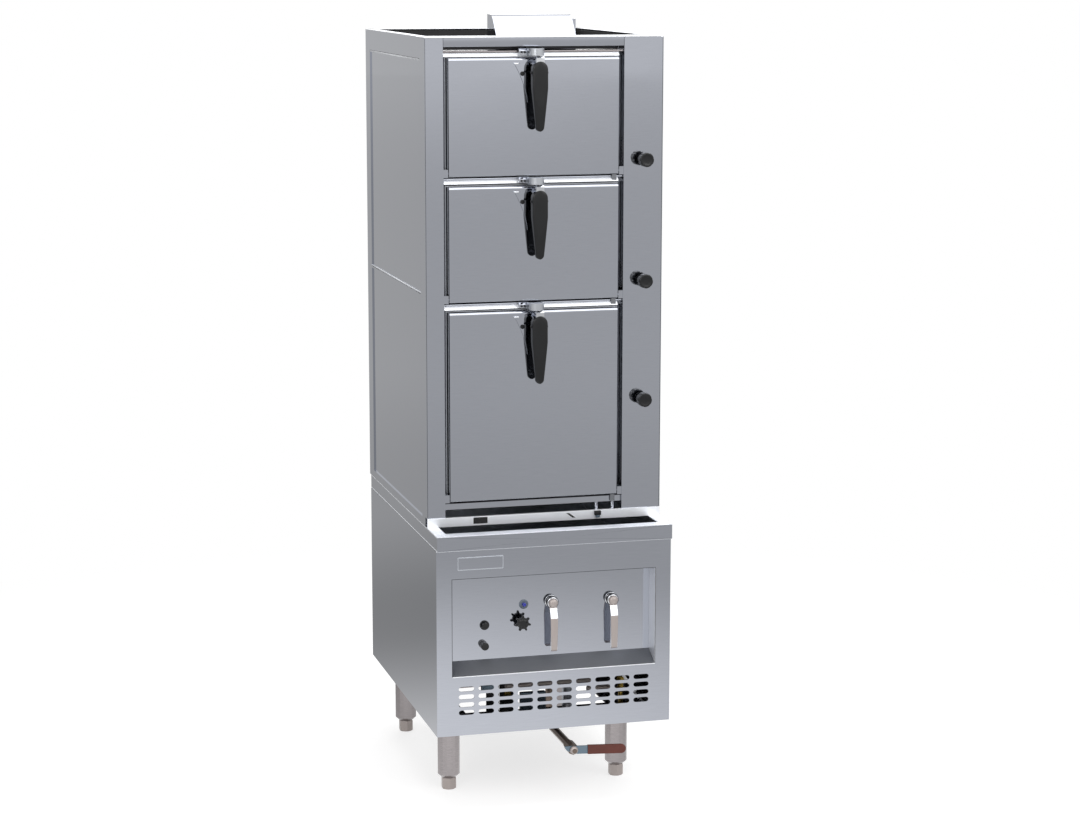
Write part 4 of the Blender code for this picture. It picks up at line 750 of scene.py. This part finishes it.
def make_tap(side):
    """A drain tap: a turned hub with a dark collar, a domed cap, and a folded lever whose lower end
    curls to the panel. The lever's half width follows a circle at the top."""
    x, _, z = front_centre("tap_body_" + side)
    centre = (x, panel_front, z)
    lever = {"body": "tap_" + side, "slot": "brushed_steel"}
    hub = turned_profile(
        [(0, -19.8), (12.2, -19.8), (14.2, -18.6), (14.8, -15.5), (14, -9), (12.4, -6), (12.4, -2.6),
         (16, -2.2), (16, -0.3), (5, -0.3), (5, 32)], [1, 2, 3, 3, 2, 1, 0.5, 0.3, 0.2], [(0, 32)])
    add_piece("tap_hub_" + side, turned_rings(hub, centre, backward), chrome, slot="chrome",
              stood=["tap_body_" + side])
    head, fold, width, foot = (-21.4, 0.5), (-32.7, -37.5), 9.5, -120.6
    bends = softened([head, (head[0], -10.5), fold, (fold[0], foot + 1), (-24.5, foot)], [3, 5, 4], 8)
    turn = np.linspace(0.03, math.pi / 2, 10)[:-1]
    cap = np.stack([np.full(9, head[0]), head[1] + width * np.cos(turn)], 1)
    path = np.concatenate([cap, bends])
    half = np.concatenate([width * np.sin(turn), np.full(len(bends), width)])
    half = half * np.interp(path[:, 1], [foot, -112, -90], [0.72, 0.86, 1.0])
    rings = swept_rings(path * MM + np.array([panel_front, z]), half * MM, 2.5 * MM, 1.0 * MM, x)
    add_piece("tap_lever_bar_" + side, rings, lever_steel, stood=["tap_lever_" + side], **lever)
    dome = quarter_dome(12.0, -22.9, 7, 12.0, -20.6)
    add_piece("tap_dome_" + side, turned_rings(dome, centre, backward, 40), lever_steel, **lever)
    # The lever's back lining and its sloped shoulder are near white: painted light on the shaded back, a
    # painted highlight on the shoulder.
    back = softened([(-19.9, -13.5), (-19.9, -14.5), (-30.9, -38.0), (-30.9, -118.0)], 3, 6) * MM
    rings = swept_rings(back + np.array([panel_front, z]), 8.6 * MM, 0.5 * MM, 0.2 * MM, x)
    add_piece("tap_lever_painted_light_back_" + side, rings, painted_light_steel, **lever)
    slope = np.linspace((-23.6, -12.6), (-33.6, -36.6), 5) * MM + np.array([panel_front, z])
    rings = swept_rings(slope, 9.2 * MM, 0.8 * MM, 0.3 * MM, x)
    add_piece("tap_lever_shoulder_" + side, rings, painted_light_steel, **lever)
    collar = rounded_loop([(12.6, -18.4), (15.4, -17.4), (16, -11), (14.8, -8), (12.4, -8)], 1.2) * MM
    add_piece("tap_collar_" + side, turned_rings(collar, centre, backward, 40), dark_steel_and_painted_shade, slot="chrome",
              ends="round")


def make_foot(place):
    """A levelling foot: a stem and a hexagon with chamfered corners. At the angle a from the middle
    of a flat the radius is flat / cos(a), but no more than the chamfer's cone allows there."""
    low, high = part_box("foot_" + place)
    x, y = (low.x + high.x) / 2, (low.y + high.y) / 2
    corner, flat, height = (high.y - low.y) / 2, (high.x - low.x) / 2, 30
    t = np.linspace(0, 2 * math.pi, 73)[:-1]
    around = flat / np.cos((t + math.pi / 6) % (math.pi / 3) - math.pi / 6)
    levels = np.array([0, 0.6, 1.6, 3.4, 26.5, 28.4, 29.4, 30, 30, 31]) * MM
    cone = np.array([0.84, 0.93, 0.97, 1.02, 1.02, 0.97, 0.93, 0.88, 0.62, 0.62]) * corner
    radius = np.minimum(around[None, :], cone[:, None])
    rings = np.stack([x + radius * np.cos(t), y + radius * np.sin(t), np.repeat(levels[:, None], 72, 1)], -1)
    body = "foot_" + place
    add_piece("foot_hexagon_" + place, rings, lever_steel, body, "brushed_steel", [body], sharp=25)
    turned_piece("foot_stem_" + place, rod(9, high.z / MM - height - 1), 0.5, (x, y, height * MM), upward,
                 brushed_steel, body, "brushed_steel")


def coil_rings(x, y, bottom, radius, wire, pitch, turns):
    """A helix (radius * cos(t), radius * sin(t), pitch * t / 2 pi) with a round section."""
    t = np.linspace(0, 2 * math.pi * turns, int(24 * turns) + 1)
    out = np.stack([np.cos(t), np.sin(t), 0 * t], 1)
    centre = np.array([x, y, bottom]) + radius * out
    centre[:, 2] += pitch * t / (2 * math.pi)
    a = np.linspace(0, 2 * math.pi, 11)[:-1]
    section = np.cos(a)[None, :, None] * out[:, None, :] + np.sin(a)[None, :, None] * np.array([0, 0, 1])
    return centre[:, None, :] + wire / 2 * section


def make_drain_nut():
    """A domed cap nut over the spindle of the drain lever."""
    spindle = (51 * MM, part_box("drain_lever")[0].y, 141 * MM)
    rings = turned_rings(quarter_dome(10.2, -3.5, 6.8, 10.4, -0.6), spindle, backward, 32)
    add_piece("drain_nut_cap", rings, lever_steel, "drain_handle", "brushed_steel")


def make_door_spring(door):
    """The coil spring beside a door, in the gap at its right: a share of the door's height, at most
    longest."""
    low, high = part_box("door_skin_" + door)
    share, longest, foot, pitch = 0.30, 95 * MM, 24 * MM, 7.8 * MM
    turns = round((min(share * (high.z - low.z), longest) - foot) / pitch)
    rings = coil_rings(193.4 * MM, -272 * MM, low.z + foot, 3.2 * MM, 1.5 * MM, pitch, turns)
    add_piece("door_spring_" + door, rings, brushed_steel, slot="brushed_steel")


for door in doors:
    make_handle(door)
    make_steam_knob(door)
    make_door_spring(door)
make_gas_wheel()
make_small_controls()
make_drain_nut()
for _, side in sides:
    make_tap(side)
for place in ("front_left", "front_right", "back_left", "back_right"):
    make_foot(place)


# Floor, world, lamps and camera


def smooth_step(tree, value, low, high, out_low, out_high):
    """A value eased from one level to another between two places."""
    return add_node(tree, "ShaderNodeMapRange", {"interpolation_type": "SMOOTHSTEP"}, Value=value,
                    From_Min=low, From_Max=high, To_Min=out_low, To_Max=out_high).outputs[0]


def calculate(tree, operation, *terms, clamp=False):
    """One step of arithmetic on constants and sockets."""
    inputs = {f"i{place}": term for place, term in enumerate(terms)}
    settings = {"operation": operation, "use_clamp": clamp}
    return add_node(tree, "ShaderNodeMath", settings, **inputs).outputs[0]


def spot(tree, place, centre, near, far, level):
    """A level at a centre on the floor that eases off to nothing with the distance."""
    away = add_node(tree, "ShaderNodeVectorMath", {"operation": "DISTANCE"}, i0=place, i1=centre)
    return smooth_step(tree, away.outputs["Value"], near, far, level, 0.0)


def gloss_rays(tree, path):
    """1 for rays that a mirror or a lens has sent, else 0."""
    return calculate(tree, "ADD", path["Is Glossy Ray"], path["Is Transmission Ray"])


def make_floor():
    """A pale floor. Near the cabinet it keeps the shadow of the feet; farther out it goes over,
    for the camera, into the white of the background. Gloss sees a floor that pales with distance,
    with a light pool before the cabinet and a darker hollow beside it."""
    material, tree, place = new_material("pale_studio_floor")
    path = add_node(tree, "ShaderNodeLightPath").outputs
    parts = add_node(tree, "ShaderNodeSeparateXYZ", Vector=place).outputs
    away = add_node(tree, "ShaderNodeVectorMath", {"operation": "LENGTH"}, i0=place).outputs["Value"]
    far = smooth_step(tree, away, 1.1, 2.6, 0.0, 1.0)
    far_seen = calculate(tree, "MULTIPLY", far, path["Is Camera Ray"])
    band = smooth_step(tree, away, 3.5, 7.0, 0.0, 0.07)
    distant = smooth_step(tree, away, 12.0, 40.0, 0.0, 1.0)
    slant = smooth_step(tree, calculate(tree, "DIVIDE", parts["X"], away), 0.19, 0.32, 0.28, 0.12)
    slant = smooth_step(tree, parts["Y"], -4.0, 4.0, slant, 0.08)
    tone = calculate(tree, "MULTIPLY_ADD", distant, slant, band)
    for term in (smooth_step(tree, parts["Y"], -0.6, 2.0, 0.62, 0.44),
                 spot(tree, place, (-0.9, 0.9, 0.0), 0.5, 2.4, -0.14),
                 spot(tree, place, (-0.5, -1.0, 0.0), 0.2, 2.4, 0.62)):
        tone = calculate(tree, "ADD", tone, term)
    gloss = gloss_rays(tree, path)
    tone = calculate(tree, "MULTIPLY", gloss, tone)
    own = calculate(tree, "MULTIPLY_ADD", path["Is Camera Ray"], 0.68, tone)
    matt = add_node(tree, "ShaderNodeBsdfDiffuse", Color=blend(tree, gloss, linear("#BEBEBE"), black))
    glow = add_node(tree, "ShaderNodeEmission", Color=white, Strength=own)
    near = add_node(tree, "ShaderNodeAddShader", i0=matt.outputs[0], i1=glow.outputs[0])
    backdrop = add_node(tree, "ShaderNodeEmission", Color=white, Strength=1.0)
    both = add_node(tree, "ShaderNodeMixShader", i0=far_seen, i1=near.outputs[0], i2=backdrop.outputs[0])
    add_node(tree, "ShaderNodeOutputMaterial", Surface=both.outputs[0])
    reach = 40
    turn = np.linspace(0, 2 * math.pi, 97)[:-1]
    rim = np.stack([reach * np.cos(turn), reach * np.sin(turn), 0 * turn], 1)
    mesh = bpy.data.meshes.new("studio_floor")
    mesh.from_pydata(rim.tolist(), [], [list(range(len(rim)))])
    mesh.materials.append(material)
    floor = bpy.data.objects.new("studio_floor", mesh)
    bpy.context.scene.collection.objects.link(floor)


def make_world():
    """White for the camera. For gloss and glass it pales from the horizon up to white; a plainer
    white lights the matt surfaces."""
    world = bpy.data.worlds.new("studio_world")
    bpy.context.scene.world = world
    world.use_nodes = True
    tree = world.node_tree
    tree.nodes.clear()
    path = add_node(tree, "ShaderNodeLightPath").outputs
    direction = add_node(tree, "ShaderNodeTexCoord").outputs["Generated"]
    parts = add_node(tree, "ShaderNodeSeparateXYZ", Vector=direction).outputs
    horizon = smooth_step(tree, parts["Y"], -0.3, 0.3, 1.0, 0.62)
    sky = smooth_step(tree, parts["Z"], 0.02, 0.2, horizon, 1.0)
    gloss = gloss_rays(tree, path)
    shown = calculate(tree, "MULTIPLY_ADD", gloss, sky, path["Is Camera Ray"])
    seen = calculate(tree, "ADD", gloss, path["Is Camera Ray"], clamp=True)
    background = add_node(tree, "ShaderNodeBackground", Color=white, Strength=shown)
    lighting = add_node(tree, "ShaderNodeBackground", Color=white, Strength=0.5)
    mixed = add_node(tree, "ShaderNodeMixShader", i0=seen, i1=lighting.outputs[0], i2=background.outputs[0])
    add_node(tree, "ShaderNodeOutputWorld", Surface=mixed.outputs[0])


def add_lamp(name, place, target, width, height, power):
    light = bpy.data.lights.new(name, "AREA")
    light.shape = "RECTANGLE"
    light.size = width
    light.size_y = height
    light.energy = power
    lamp = bpy.data.objects.new(name, light)
    bpy.context.scene.collection.objects.link(lamp)
    lamp.location = place
    lamp.rotation_euler = (Vector(target) - Vector(place)).to_track_quat("-Z", "Y").to_euler()
    lamp.visible_camera = False


def make_camera():
    """The photograph's view: 15 degrees from the left of straight on, 10 degrees down."""
    place = (-1.6569, -6.4237, 2.1024)
    azimuth, elevation, roll = (math.radians(angle) for angle in (15.041, 10.097, 0.064))
    data = bpy.data.cameras.new("photo_view")
    data.sensor_width = 36.0
    data.lens = 86.587
    data.clip_start = 0.1
    data.clip_end = 200.0
    camera = bpy.data.objects.new("photo_view", data)
    bpy.context.scene.collection.objects.link(camera)
    look = Vector((math.sin(azimuth) * math.cos(elevation), math.cos(azimuth) * math.cos(elevation),
                   -math.sin(elevation)))
    turn = look.to_track_quat("-Z", "Y").to_matrix() @ Matrix.Rotation(roll, 3, "Z")
    camera.matrix_world = Matrix.Translation(place) @ turn.to_4x4()
    bpy.context.scene.camera = camera


make_floor()
make_world()
add_lamp("overhead_softbox", (0.0, 0.0, 4.6), (0.0, 0.0, 1.0), 3.0, 3.0, 60.0)
add_lamp("front_softbox", (-3.0, -4.5, 3.2), (0.0, 0.0, 1.0), 2.0, 2.5, 60.0)
add_lamp("high_front_softbox", (2.2, -4.2, 4.2), (0.0, 0.0, 1.2), 4.5, 3.2, 100.0)
add_lamp("rear_softbox", (2.0, 5.5, 2.6), (0.8, 0.0, 2.2), 4.0, 2.2, 70.0)
make_camera()
bpy.context.scene.view_settings.view_transform = "Standard"
